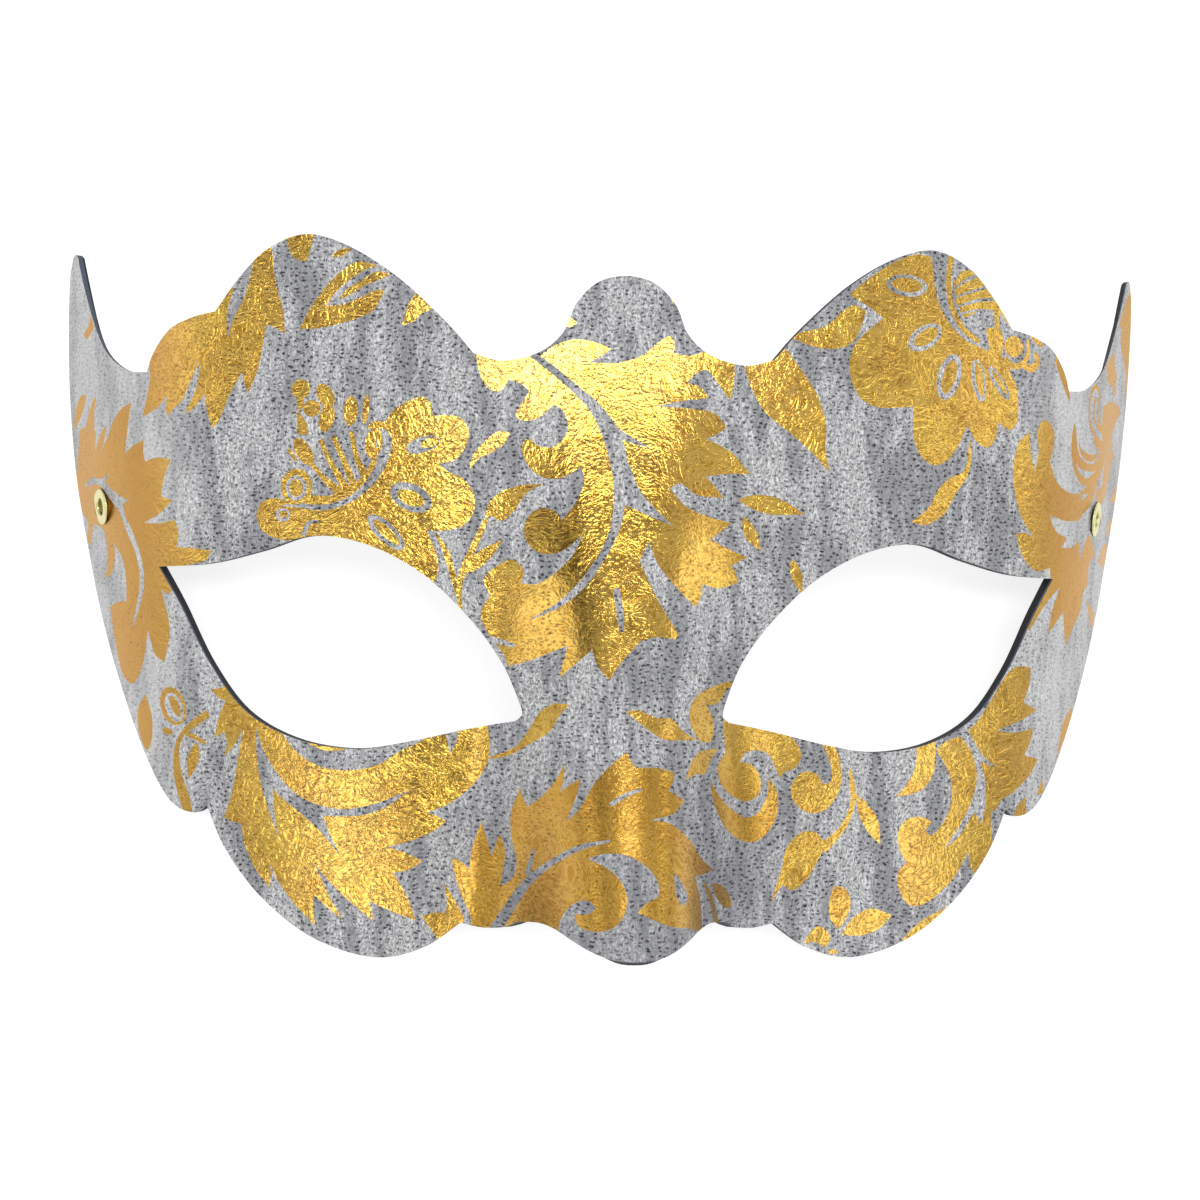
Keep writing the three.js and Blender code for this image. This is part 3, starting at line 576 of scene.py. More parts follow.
motifs["noseScrolls"] = [
    (foil, edge([(-0.4, -15.8)], [(1.4, -15.6), (3.8, -16.6), (6.4, -16.9), (8, -18.6), (10.4, -20)],
        [(8, -19.9), (5, -19.7), (2.6, -18.2), (-0.4, -15.8)])),
    (foil, edge([(16.3, -11.6)],
        [(13.2, -12.4), (10.6, -13.6), (9.2, -15.6), (9.5, -18.2), (11.3, -20.4), (12.8, -20.4)],
        [(13.3, -18.6), (12.9, -16.6), (12, -15.1)], [(14, -14.8), (15.6, -12.6)], [(16.6, -12.6)])),
    (foil, edge([(14, -21.5)], [(12.4, -21.5), (10.4, -21.9), (9.2, -23.4), (8.3, -25.6)],
        [(9.8, -24.9), (11.7, -24.9), (12.6, -23.2), (14, -21.5)])),
    (foil, edge([(14.8, -16.8)], [(25, -19.4)],
        [(26.8, -21), (27.5, -23), (26.4, -24.8), (25, -25.2), (24.2, -26.2)],
        [(23.4, -24.6), (22.3, -22.6), (20.3, -22), (18.5, -22.4), (17.7, -23.6)],
        [(19.8, -24.2), (21.1, -26.4), (20.8, -28.6), (18.8, -29.5), (16.2, -28.4), (14.2, -26.2),
         (13.9, -24.2), (15.2, -22.1)])),
    (foil, edge([(12.6, -26)],
        [(14.2, -28.4), (16.4, -30.6), (18.8, -31.9), (20.6, -31.4), (22.1, -29), (22.4, -26)],
        [(23.8, -28.4), (23.8, -31.4), (22.4, -34.2), (20, -35.6), (17.2, -34.8), (14.6, -32.2),
         (12.9, -28.4), (12.6, -26)])),
    (foil, edge([(30.2, -20)],
        [(32.8, -21.6), (33.9, -24.6), (33.7, -28), (31.8, -30.8), (29.2, -31.5), (26.8, -30.2),
         (25.9, -28), (26.7, -26.1), (28.6, -25.2), (30.3, -25.9), (30.9, -27.1)],
        [(32.2, -26.9), (32.4, -25), (31.6, -22.6), (30.2, -20)])),
    (foil, ribbon([(35.4, -25), (35.8, -27.4), (35.9, -30), (34.9, -32.9), (32.9, -35.3), (31, -36.8)],
        [0.4, 0.8, 0.8, 0.9, 1.2, 1.8])),
    (foil, ribbon([(35.9, -28.6), (37, -29.5), (38.2, -30.4)], [0.5, 0.5, 0.8])),
    (foil, edge([(36.5, -29.6)], [(38.8, -30.8), (40.3, -33.2), (40.6, -36.5)],
        [(38.6, -34.6), (37, -32), (36.5, -29.6)])),
    (foil, edge([(31.6, -36.2)],
        [(29.8, -34.3), (27.4, -34.5), (25.4, -36.6), (24.6, -39.8), (23, -44.6)], [(24.8, -42.1)],
        [(26.4, -43), (28.4, -41.6), (30.4, -38.6), (31.6, -36.2)])),
    (foil, edge([(33, -42.5)], [(34.8, -42.9), (35.8, -45), (35, -47.6), (33.8, -49.1)],
        [(32.4, -47.2), (32.3, -44.8), (33, -42.5)])),
    (foil, edge([(34.3, -49.9)], [(36.2, -47.4), (39, -46.1), (42.8, -47.2)],
        [(40.6, -49.2), (37.6, -50.1), (34.3, -49.9)])),
    (foil, edge([(28.3, -51)], [(29.4, -49.2), (30.6, -48.4)],
        [(31.6, -48.9), (32.6, -50.4), (31.6, -51.7)], [(30.2, -50.9), (28.3, -51)])),
    (foil, oval(33, -52.4, 1.6, 0.7)),
    (foil, ribbon([(11.2, -40.2), (12.4, -42.6), (13, -44.8), (13.8, -47.2)], [0.4, 0.8, 0.8, 1])),
    (foil, edge([(12.6, -40.6)],
        [(14.4, -41.2), (16, -43.2), (16.3, -44.6), (15.3, -44.7), (13.6, -43), (12.6, -40.6)])),
]

motifs["cheekLeafRight"] = [
    (foil, edge([(55.7, -19.3)],
        [(57.2, -18.2), (59.6, -15.2), (62.6, -11), (64.4, -9.6), (66.2, -9.4)], [(67.8, -9.7)],
        [(67.6, -12), (66.4, -15.1)], [(69.3, -16.3)], [(66.4, -17.7), (61.2, -19.4)],
        [(64.6, -19.8), (68.6, -19.2)], [(68, -21.4), (66.8, -23.4)], [(69.9, -24.1)],
        [(68, -26.6), (64.8, -29), (62.2, -30.4), (61.2, -31.8), (60.4, -31.9)],
        [(60.4, -34), (61, -38)], [(57.6, -41.6)], [(56.6, -40.4), (56.2, -37.9)],
        [(54.2, -41.2), (51, -44.2), (47.4, -46), (45.4, -45.6), (43.8, -43.2), (43.6, -40.8),
         (45.1, -39.3)], [(43.9, -37.2), (43.6, -34.8), (44.8, -32.9), (47.4, -32.4), (49.6, -33.3)],
        [(48.4, -34.4), (49.2, -35.3), (51, -34), (52.7, -31), (52.9, -27.6), (51.8, -24.8),
         (50, -22.2)], [(51.8, -20.9), (54.4, -20.2)],
        [(56.4, -22.6), (57.5, -26), (57, -29.4), (55, -33.2), (51.8, -37.4)],
        [(54.6, -35.4), (57, -32.1)], [(57.8, -32.7), (58.5, -34)],
        [(59.2, -31.4), (59.2, -27.6), (58.2, -24)], [(59.6, -24.7), (61.2, -25.1)],
        [(58.8, -23.4), (55.7, -19.3)])),
    (foil, edge([(46.6, -21)], [(49.8, -20.4)],
        [(49.9, -23), (49.4, -26.2), (47.4, -28.4), (43, -29.3)],
        [(45, -27.4), (46.4, -24.8), (46.6, -21)])),
    (foil, edge([(44.6, -51)], [(47.4, -48.6), (52.4, -46.4)], [(54, -48)], [(48, -53)])),
]


cloth = {
    "thickness": 0.4,  # mm, and so on
    "spacing": 0.85,  # of the inner points
    "edgeSpacing": 0.6,
    "clear": 0.42,  # least distance of an inner point from an edge
}
base = {
    "thickness": 1.4,
    "spacing": 3,
    "edgeSpacing": 1.2,
    "clear": 1.6,
    "felt": 0.62,  # share of its cut edge on the left wing that shows the grey felt inside
}
cut = {
    "leftWing": (0.2, 0.6),  # at its foot and tip: 0 is straight down, and 1 square to the front
    "rightWing": (-0.2, 0.25),
    "nose": 0.85,
    "wingAcross": (68, 74),  # mm over which a wing's cut sets in
    "wingUp": (30, 33),
    "wingTurn": (96, 1.2),  # the tip, and how far before it the cut ends
    "wingRise": (36, 52),  # foot and tip
    "noseAcross": (15, 9),
    "noseUp": (-42, -46),
}


def signedArea(loop):
    return sum(a[0] * b[1] - b[0] * a[1] for a, b in zip(loop, loop[1:] + loop[:1])) / 2


inner = {"across": 100, "low": -56, "high": 58}  # mm that the rows of inner points span


# The flat mask as triangles, each with the number of the print shape on top of it, or -1
def flatPlan(sizes, prints):
    outline, holes = maskLoops(sizes["edgeSpacing"])
    loops = [outline, *holes, *prints]
    points = []
    faces = []
    for loop in loops:
        ordered = loop if signedArea(loop) > 0 else loop[::-1]
        faces.append(list(range(len(points), len(points) + len(ordered))))
        points += ordered
    tree = KDTree(len(points))
    for i, p in enumerate(points):
        tree.insert((p[0], p[1], 0), i)
    tree.balance()
    rowHeight = sizes["spacing"] * 0.866  # of even-sided triangles
    row = 0
    while inner["low"] + row * rowHeight < inner["high"]:
        up = inner["low"] + row * rowHeight
        for column in range(round(2 * inner["across"] / sizes["spacing"])):
            across = (column + row % 2 / 2) * sizes["spacing"] - inner["across"]
            if tree.find((across, up, 0))[2] > sizes["clear"]:
                points.append((across, up))
        row += 1
    made = delaunay_2d_cdt([Vector(p) for p in points], [], faces, 0, 1e-5, True)
    spots, triangles, owners = made[0], made[2], made[5]
    keep = []
    tops = []
    for triangle, owner in zip(triangles, owners):
        if 0 in owner and not any(k in owner for k in range(1, 1 + len(holes))):
            keep.append(triangle)
            tops.append(max(owner) - 1 - len(holes) if max(owner) > len(holes) else -1)
    return spots, keep, tops


def between(value, low, high):
    share = min(max((value - low) / (high - low), 0), 1)
    return share * share * (3 - 2 * share)


def onWingInside(across, up):
    tip, soft = cut["wingTurn"]
    inside = between(abs(across), *cut["wingAcross"]) * between(up, *cut["wingUp"])
    return inside * between(tip - abs(across), 0, soft)


# A place in a cut edge, which leans where the wings and the nose are cut
def edgePlace(across, up, depth):
    wing = onWingInside(across, up)
    nose = between(abs(across), *cut["noseAcross"]) * between(up, *cut["noseUp"])
    foot, tip = cut["leftWing"] if across < 0 else cut["rightWing"]
    wingCut = foot + (tip - foot) * between(up, *cut["wingRise"])
    share = 1 + wing * (wingCut - 1) + nose * (cut["nose"] - 1)
    down = frontNormal(across, up) * share + Vector((0, 0, 1 - share))
    return restFrame @ (frontPoint(across, up) - depth * down.normalized()) * mm


mapSide = 200  # mm of the flat cloth across the whole of its UV map


def setPlan(face, plan, places):
    for loop, place in zip(face.loops, places):
        loop[plan].uv = (place.x / mapSide + 0.5, place.y / mapSide + 0.5)


# A sheet of the wall between two depths. Each part of its rim has the share of the thickness that it
# reaches down to, and its material slot on the left wing and elsewhere.
def meshFromFlat(name, spots, triangles, slots, depth, thickness, backSlot, rimParts):
    used = sorted({i for t in triangles for i in t})
    bm = bmesh.new()
    plan = bm.loops.layers.uv.new("clothPlan")
    corners = {(t[k], t[(k + 1) % 3]) for t in triangles for k in range(3)}
    rimLines = [(a, b) for a, b in corners if (b, a) not in corners]
    onRim = {i for line in rimLines for i in line}

    def makeVert(i, down):
        place = edgePlace if i in onRim else wallPlace
        return bm.verts.new(place(spots[i].x, spots[i].y, down))

    top = {i: makeVert(i, depth) for i in used}
    low = {i: makeVert(i, depth + thickness) for i in used}

    for triangle, slot in zip(triangles, slots):
        face = bm.faces.new([top[i] for i in triangle])
        face.material_index = slot
        face.smooth = True
        setPlan(face, plan, [spots[i] for i in triangle])
        under = bm.faces.new([low[i] for i in triangle[::-1]])
        under.material_index = backSlot
        under.smooth = True
        setPlan(under, plan, [spots[i] for i in triangle[::-1]])
    above = top
    rimFaces = set()
    for reach, wingSlot, slot in rimParts:
        below = low if reach == 1 else {i: makeVert(i, depth + reach * thickness) for i in onRim}
        for a, b in rimLines:
            rim = bm.faces.new([above[b], above[a], below[a], below[b]])
            # The grey felt shows only on the left wing. Elsewhere, as on the right wing and round the eye
            # holes, the whole cut edge is given the black lining, which is partly painted shade over the
            # felt where it lies in shadow.
            onLeftWing = spots[a].x < 0 and onWingInside(spots[a].x, spots[a].y) > 0
            rim.material_index = wingSlot if onLeftWing else slot
            rim.smooth = True
            rimFaces.add(rim)
            setPlan(rim, plan, [spots[i] for i in (b, a, a, b)])
        above = below
    for line in bm.edges:
        turnsToRim = sum(side in rimFaces for side in line.link_faces) == 1
        line.smooth = not turnsToRim and line.calc_face_angle(0) < sharpFrom
    return finished(name, bm)


def finished(name, bm, materials=()):
    mesh = bpy.data.meshes.new(name)
    bm.to_mesh(mesh)
    bm.free()
    piece = bpy.data.objects.new(name, mesh)
    bpy.context.collection.objects.link(piece)
    for material in materials:
        mesh.materials.append(material)
    return piece


sharpFrom = radians(40)  # an edge that turns more is shaded as a corner


# Sets a node's inputs to values, or links them to the outputs of other nodes
def setInputs(tree, node, inputs):
    for socket, value in inputs.items():
        if isinstance(value, bpy.types.NodeSocket):
            tree.links.new(value, node.inputs[socket])
        else:
            node.inputs[socket].default_value = value


def addNode(tree, kind, inputs, **settings):
    node = tree.nodes.new("ShaderNode" + kind)
    for setting, value in settings.items():
        setattr(node, setting, value)
    setInputs(tree, node, inputs)
    return node


def newMaterial(name):
    material = bpy.data.materials.new(name)
    material.use_nodes = True
    tree = material.node_tree
    return material, tree, tree.nodes["Principled BSDF"]


def ramp(tree, source, low, high, toLow=0.0, toHigh=1.0):
    inputs = {"Value": source, "From Min": low, "From Max": high, "To Min": toLow, "To Max": toHigh}
    return addNode(tree, "MapRange", inputs, interpolation_type="SMOOTHSTEP").outputs["Result"]


# One value where a share is 0, and another where it is 1
def graded(tree, share, atNone, atFull):
    return ramp(tree, share, 0.0, 1.0, atNone, atFull)


def combine(tree, operation, a, b=0):
    return addNode(tree, "Math", {0: a, 1: b}, operation=operation).outputs[0]


def times(tree, a, b):
    return combine(tree, "MULTIPLY", a, b)


def mixColour(tree, share, a, b):
    a, b = ((*value, 1) if isinstance(value, tuple) else value for value in (a, b))
    return addNode(tree, "Mix", {0: share, 6: a, 7: b}, data_type="RGBA").outputs[2]


def noiseValue(tree, vector, scale, detail=2.0, rough=0.5, distort=0.0):
    inputs = {"Scale": scale, "Detail": detail, "Roughness": rough, "Distortion": distort}
    return addNode(tree, "TexNoise", {"Vector": vector, **inputs}).outputs["Fac"]


# How far a noise is from its middle
def offMiddle(tree, value):
    return combine(tree, "ABSOLUTE", combine(tree, "SUBTRACT", value, 0.5))


def scaled(tree, vector, scale, turn=0.0, place=(0, 0, 0)):
    inputs = {"Vector": vector, "Scale": scale, "Rotation": (0, 0, radians(turn)), "Location": place}
    return addNode(tree, "Mapping", inputs).outputs["Vector"]


# Places that a slow noise has pushed aside
def drifted(tree, place, scale, detail, reach):
    noise = addNode(tree, "TexNoise", {"Vector": place, "Scale": scale, "Detail": detail})
    inputs = {0: noise.outputs["Color"], 1: (reach, reach, 0), 2: place}
    return addNode(tree, "VectorMath", inputs, operation="MULTIPLY_ADD").outputs["Vector"]


knit = {
    "pitch": (1.25, 0.66),  # mm from stitch to stitch across and up
    "crooked": 0.66,
    "lean": 4,  # degrees that the rows lean
    "pit": (0.12, 0.34),  # a pit's dark middle and its soft edge, in stitches
    "streak": (0.21, 0.05),  # streaks per mm across and up
    "wander": 2.4,
    "wanderScale": 0.22,
    "fibreScale": 2.9,
    "fibreLean": -24,
    "loopScale": 1.3,
}


# The knit, from places on the flat cloth in millimetres: dark pits between the stitches, in
# crooked rows, pale fibres over them, and worn streaks from top to bottom
def makeKnitGroup():
    tree = bpy.data.node_groups.new("knitStitches", "ShaderNodeTree")
    tree.interface.new_socket("Plan", in_out="INPUT", socket_type="NodeSocketVector")
    for name in ("Pits", "Fibres", "Streaks"):
        tree.interface.new_socket(name, in_out="OUTPUT", socket_type="NodeSocketFloat")
    given = tree.nodes.new("NodeGroupInput").outputs["Plan"]
    out = tree.nodes.new("NodeGroupOutput")
    place = drifted(tree, given, knit["wanderScale"], 2, knit["wander"])
    wide, high = knit["pitch"]
    rows = scaled(tree, place, (1 / wide, 1 / high, 1), knit["lean"])
    inputs = {"Vector": rows, "Scale": 1.0, "Randomness": knit["crooked"]}
    cells = addNode(tree, "TexVoronoi", inputs, voronoi_dimensions="2D")
    spots = ramp(tree, cells.outputs["Distance"], *knit["pit"], 1.0, 0.0)
    drawn = scaled(tree, given, (*knit["streak"], 1), knit["lean"])
    streaks = ramp(tree, noiseValue(tree, drawn, 1.0, 5.0, 0.62), 0.4, 0.64)
    uneven = ramp(tree, noiseValue(tree, place, 1.3), 0.24, 0.48)
    pits = times(tree, spots, uneven)
    pits = times(tree, pits, ramp(tree, streaks, 0.0, 0.5, 0.65, 1.0))
    slanted = scaled(tree, place, (1.3, 0.7, 1), knit["fibreLean"])
    soft = noiseValue(tree, slanted, knit["fibreScale"], 3.0, 0.65, 0.6)
    loops = offMiddle(tree, noiseValue(tree, slanted, knit["loopScale"], 1.0, 0.5, 0.8))
    loops = graded(tree, ramp(tree, loops, 0.0, 0.12), 0.45, 1.0)
    fibres = times(tree, ramp(tree, soft, 0.32, 0.62), loops)
    # loose fibres lie over the pits
    pits = times(tree, pits, ramp(tree, fibres, 0.2, 0.9, 1.0, 0.5))
    setInputs(tree, out, {"Pits": pits, "Fibres": fibres, "Streaks": streaks})
    return tree


def planVector(tree):
    uv = addNode(tree, "UVMap", {}, uv_map="clothPlan").outputs["UV"]
    return scaled(tree, uv, (mapSide,) * 3, 0, (-mapSide / 2, -mapSide / 2, 0))


def onAxis(tree, place, axis):
    return addNode(tree, "SeparateXYZ", {0: place}).outputs[axis]


# 0 over the face and 1 on the sides
def towardsSides(tree, plan, start, end):
    return ramp(tree, combine(tree, "ABSOLUTE", onAxis(tree, plan, "X")), start, end)


# 1 over the nose's lower half, and 0 away from it
def overNose(tree, plan):
    lower = ramp(tree, onAxis(tree, plan, "Y"), -38, -14, 1.0, 0.0)
    return times(tree, towardsSides(tree, plan, 32, 14), lower)


def addBump(tree, shader, height, strength, depth):
    bump = addNode(tree, "Bump", {"Height": height, "Strength": strength, "Distance": depth * mm})
    setInputs(tree, shader, {"Normal": bump.outputs["Normal"]})


clothFinish = {
    "yarnDark": (0.2, 0.2, 0.208),
    "yarnPale": (0.66, 0.66, 0.67),
    # painted light: the paler, plainer grey of the sides, which catch more light
    "side": (0.545, 0.545, 0.54),
    "streak": (0.14, 0.145, 0.16),
    "streakShade": 0.64,
    "pit": (0.02, 0.02, 0.03),
    "depth": 0.12,  # mm of its relief
}
knitGroup = makeKnitGroup()


def makeCloth():
    material, tree, shader = newMaterial("greyKnit")
    plan = planVector(tree)
    stitches = addNode(tree, "Group", {"Plan": plan}, node_tree=knitGroup)
    pits, fibres, streaks = (stitches.outputs[name] for name in ("Pits", "Fibres", "Streaks"))
    side = towardsSides(tree, plan, 58, 78)
    tone = mixColour(tree, fibres, clothFinish["yarnDark"], clothFinish["yarnPale"])
    # painted light: towards the sides the grey turns paler and plainer, with weaker streaks and pits, for
    # the brighter light falling there
    tone = mixColour(tree, graded(tree, side, 0.0, 0.62), tone, clothFinish["side"])
    shade = graded(tree, streaks, 0.0, clothFinish["streakShade"])
    shade = times(tree, shade, graded(tree, side, 1.0, 0.5))
    tone = mixColour(tree, shade, tone, clothFinish["streak"])
    # the cloth is darker over the lower half of the nose
    darkerOverNose = graded(tree, overNose(tree, plan), 0.0, 0.4)
    tone = mixColour(tree, darkerOverNose, tone, clothFinish["streak"])
    pits = times(tree, pits, graded(tree, side, 1.0, 0.4))
    tone = mixColour(tree, pits, tone, clothFinish["pit"])
    setInputs(tree, shader, {"Base Color": tone, "Roughness": 0.9, "Specular IOR Level": 0.25})
    addBump(tree, shader, combine(tree, "SUBTRACT", fibres, pits), 0.6, clothFinish["depth"])
    return material


foilFinish = {
    "deep": (0.37, 0.17, 0.008),
    "bright": (0.43, 0.245, 0.018),
    # painted highlight: the paler colour given to the crests of the folds
    "crestHighlight": (0.8, 0.58, 0.15),
    # painted shade: the dark colour drawn along creases, where shade falls
    "creaseShade": (0.16, 0.06, 0.004),
    # painted reflection: the duller orange that the foil shows on the sides, where it is seen at a
    # grazing angle
    "side": (0.49, 0.255, 0.066),
    "crack": (0.06, 0.03, 0.01),
    "depth": 0.16,
    "coat": 0.32,
    "coatRoughness": 0.2,
    "coatIor": 1.6,
}
foilRelief = {
    "drift": (0.16, 1, 6),
    "broad": (0.72, 0.15, 0.5),  # how close its folds lie, how wide they are, and how they wander
    "narrow": (1.7, 0.17, 0.4),
    "creaseShade": (0.9, 0.07, 0.6),
    "broadHeight": (0.095, 0.175),  # along the middle line, and elsewhere
    "narrowHeight": 0.055,
    "fineHeight": 0.035,
    "swellHeight": 0.6,
    "pitDepth": 0.12,
    "roughness": (0.17, 0.38),  # in front, and on the sides
}


def makeFoil():
    material, tree, shader = newMaterial("goldFoil")
    plan = planVector(tree)
    pits = addNode(tree, "Group", {"Plan": plan}, node_tree=knitGroup).outputs["Pits"]
    side = towardsSides(tree, plan, 58, 80)
    ridge = overNose(tree, plan)

    # folds that wander over the foil, with their crests where a noise crosses its middle
    def folds(place, scale, width, distort):
        off = offMiddle(tree, noiseValue(tree, place, scale, 1.0, 0.5, distort))
        return ramp(tree, off, 0.0, width, 1.0, 0.0)

    flow = drifted(tree, plan, *foilRelief["drift"])
    broad = folds(flow, *foilRelief["broad"])
    narrow = folds(flow, *foilRelief["narrow"])
    fine = noiseValue(tree, flow, 3.2, 1.0)
    swell = noiseValue(tree, plan, 0.3)
    # foil along the middle line is drawn smoother
    drawn = towardsSides(tree, plan, 12, 27)
    height = times(tree, broad, graded(tree, drawn, *foilRelief["broadHeight"]))
    layers = (("ADD", narrow, "narrowHeight"), ("ADD", swell, "swellHeight"),
              ("ADD", fine, "fineHeight"), ("SUBTRACT", pits, "pitDepth"))
    for operation, value, size in layers:
        height = combine(tree, operation, height, times(tree, value, foilRelief[size]))
    height = times(tree, height, graded(tree, side, 1.0, 0.9))
    spread = ramp(tree, noiseValue(tree, plan, 0.1), 0.3, 0.7)
    spread = times(tree, spread, graded(tree, ridge, 1.0, 0.4))
    tone = mixColour(tree, spread, foilFinish["deep"], foilFinish["bright"])
    # painted highlight: the crests of the folds are drawn paler, less so along the nose, where only the
    # narrow ones are
    highlitCrests = times(tree, combine(tree, "MAXIMUM", broad, narrow), graded(tree, ridge, 0.4, 0.0))
    highlitCrests = combine(tree, "MAXIMUM", highlitCrests, times(tree, narrow, graded(tree, ridge, 0.0, 0.3)))
    tone = mixColour(tree, highlitCrests, tone, foilFinish["crestHighlight"])
    # painted shade: dark lines of colour along creases, which are not in the relief, fading towards the
    # sides and over the nose
    creaseShading = folds(scaled(tree, flow, (0.5, 1.2, 1), -12), *foilRelief["creaseShade"])
    creaseShading = times(tree, creaseShading, ramp(tree, noiseValue(tree, plan, 0.09, 3.0, 0.7), 0.46, 0.66))
    creaseShading = times(tree, creaseShading, ramp(tree, side, 0.0, 0.4, 0.6, 0.0))
    creaseShading = times(tree, creaseShading, graded(tree, ridge, 1.0, 0.2))
    tone = mixColour(tree, creaseShading, tone, foilFinish["creaseShade"])
    # painted reflection: towards the sides the foil turns a duller orange, as it is seen at a grazing
    # angle
    tone = mixColour(tree, graded(tree, side, 0.0, 0.8), tone, foilFinish["side"])
    cracks = times(tree, ramp(tree, pits, 0.6, 1.0, 0.0, 0.7), graded(tree, side, 1.0, 0.6))
    tone = mixColour(tree, cracks, tone, foilFinish["crack"])
    soft = combine(tree, "MAXIMUM", side, times(tree, ridge, 0.45))
    setInputs(tree, shader, {
        "Base Color": tone,
        "Metallic": 1.0,
        "Roughness": graded(tree, soft, *foilRelief["roughness"]),
        "Coat Weight": foilFinish["coat"],
        "Coat Roughness": foilFinish["coatRoughness"],
        "Coat IOR": foilFinish["coatIor"],
    })
    addBump(tree, shader, height, 1.0, foilFinish["depth"])
    return material


edgeFinish = {"dark": (0.03, 0.037, 0.058), "pale": (0.1, 0.12, 0.17)}


def makeCutEdge():
    material, tree, shader = newMaterial("cutClothEdge")
    speckle = noiseValue(tree, planVector(tree), 2.4, 3.0, 0.7)
    tone = mixColour(tree, speckle, edgeFinish["dark"], edgeFinish["pale"])
    setInputs(tree, shader, {"Base Color": tone, "Roughness": 0.95})
    return material


liningFinish = {
    "dark": (0.006, 0.006, 0.008),
    "pale": (0.022, 0.022, 0.026),
    "roughness": (0.6, 0.85),
    "grain": 1800,  # speckles per metre
    "depth": 0.1,
}


def makeBase():
    material, tree, shader = newMaterial("blackLining")
    place = addNode(tree, "TexCoord", {}).outputs["Object"]
    felt = noiseValue(tree, place, liningFinish["grain"], 3.0, 0.6)
    tone = mixColour(tree, felt, liningFinish["dark"], liningFinish["pale"])
    roughness = ramp(tree, felt, 0.3, 0.7, *liningFinish["roughness"])
    setInputs(tree, shader, {"Base Color": tone, "Roughness": roughness, "Specular IOR Level": 0.25})
    addBump(tree, shader, felt, 0.4, liningFinish["depth"])
    return material


brassFinish = {
    "dull": (0.5, 0.46, 0.2),
    "bright": (0.78, 0.75, 0.45),
    "roughness": (0.2, 0.4),
    "grain": 900,
}


def makeBrass():
    material, tree, shader = newMaterial("paleBrass")
    place = addNode(tree, "TexCoord", {}).outputs["Object"]
    # random paler and duller blotches over the brass
    brassMottle = noiseValue(tree, place, brassFinish["grain"], 3.0, 0.6)
    tone = mixColour(tree, brassMottle, brassFinish["dull"], brassFinish["bright"])
    roughness = ramp(tree, brassMottle, 0.3, 0.7, *brassFinish["roughness"])
    setInputs(tree, shader, {"Base Color": tone, "Roughness": roughness, "Metallic": 1.0})
    return material


# The printed cloth
prints = [loop for group in motifs.values() for kind, loop in group]
printKinds = [kind for group in motifs.values() for kind, loop in group]
spots, triangles, tops = flatPlan(cloth, prints)
slots = [1 if top >= 0 and printKinds[top] == foil else 0 for top in tops]
face = meshFromFlat("printedFace", spots, triangles, slots, 0, cloth["thickness"], 2, [(1, 2, 2)])
for material in (makeCloth(), makeFoil(), makeCutEdge()):
    face.data.materials.append(material)
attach(face, "root")
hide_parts("face_cloth")
print("printed cloth:", len(triangles), "triangles on its front")

# The moulded base
spots, triangles, tops = flatPlan(base, [])
shell = meshFromFlat("mouldedBase", spots, triangles, [0] * len(triangles), cloth["thickness"],
                     base["thickness"], 0, [(base["felt"], 1, 0), (1, 0, 0)])
shell.data.materials.append(makeBase())
shell.data.materials.append(face.data.materials[2])
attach(shell, "root")
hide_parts("base_shell")
print("moulded base")

# The cloth is cut to the flat outline with its holes, and lies over the base
outline, holes = maskLoops(cloth["edgeSpacing"])


# An eyelet: one bent wall that rolls over the cloth in front and is clinched behind
def eyeletProfile():
    wall = -cloth["thickness"] - base["thickness"]
    bore = eyelet["bore"]
    flange = eyelet["flange"]
    sunk = eyelet["sunk"]
    frontSteps, backSteps = eyelet["steps"]
    profile = []
    # the rolled rim, from the bore up over the crown and down to the cloth
    middle = (bore + flange) / 2
    for k in range(frontSteps + 1):
        turn = pi * k / frontSteps
        reach = middle - cos(turn) * (flange - bore) / 2
        profile.append((reach, sin(turn) ** eyelet["crown"] * eyelet["rise"]))
    profile.append((flange - eyelet["lip"], -sunk))
    profile.append((eyelet["barrel"], -sunk))
    profile.append((eyelet["barrel"], wall - sunk))
    # the ring behind, from its outer edge round to the bore
    middle = (bore + eyelet["clinch"]) / 2
    for k in range(backSteps + 1):
        turn = pi * k / backSteps
        reach = middle + cos(turn) * (eyelet["clinch"] - bore) / 2
        profile.append((reach, wall - eyelet["backGap"] - sin(turn) * eyelet["backRise"]))
    return profile


def makeEyelet(name, spot, lean, node, material):
    bm = bmesh.new()
    profile = eyeletProfile()
    ring = [bm.verts.new((r * mm, 0, w * mm)) for r, w in profile]
    lines = [bm.edges.new((a, b)) for a, b in zip(ring, ring[1:] + ring[:1])]
    bmesh.ops.spin(bm, geom=ring + lines, cent=(0, 0, 0), axis=(0, 0, 1), angle=2 * pi,
                   steps=eyelet["sides"], use_merge=True)
    bmesh.ops.remove_doubles(bm, verts=bm.verts, dist=1e-7)
    bmesh.ops.recalc_face_normals(bm, faces=bm.faces)
    out = (restFrame.to_3x3() @ frontNormal(*spot)).normalized()
    out.rotate(Matrix.Rotation(radians(lean), 3, "Y"))
    place = Matrix.Translation(wallPlace(*spot)) @ out.to_track_quat("Z", "Y").to_matrix().to_4x4()
    bmesh.ops.transform(bm, matrix=place, verts=bm.verts)
    for piece in bm.faces:
        piece.smooth = True
    made = finished(name, bm, [material])
    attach(made, "root")
    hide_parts(node)


brass = makeBrass()
makeEyelet("eyeletLeft", eyelet["left"], -eyelet["leftLean"], "eyelet_left", brass)
makeEyelet("eyeletRight", eyelet["right"], eyelet["rightLean"], "eyelet_right", brass)
print("eyelets")

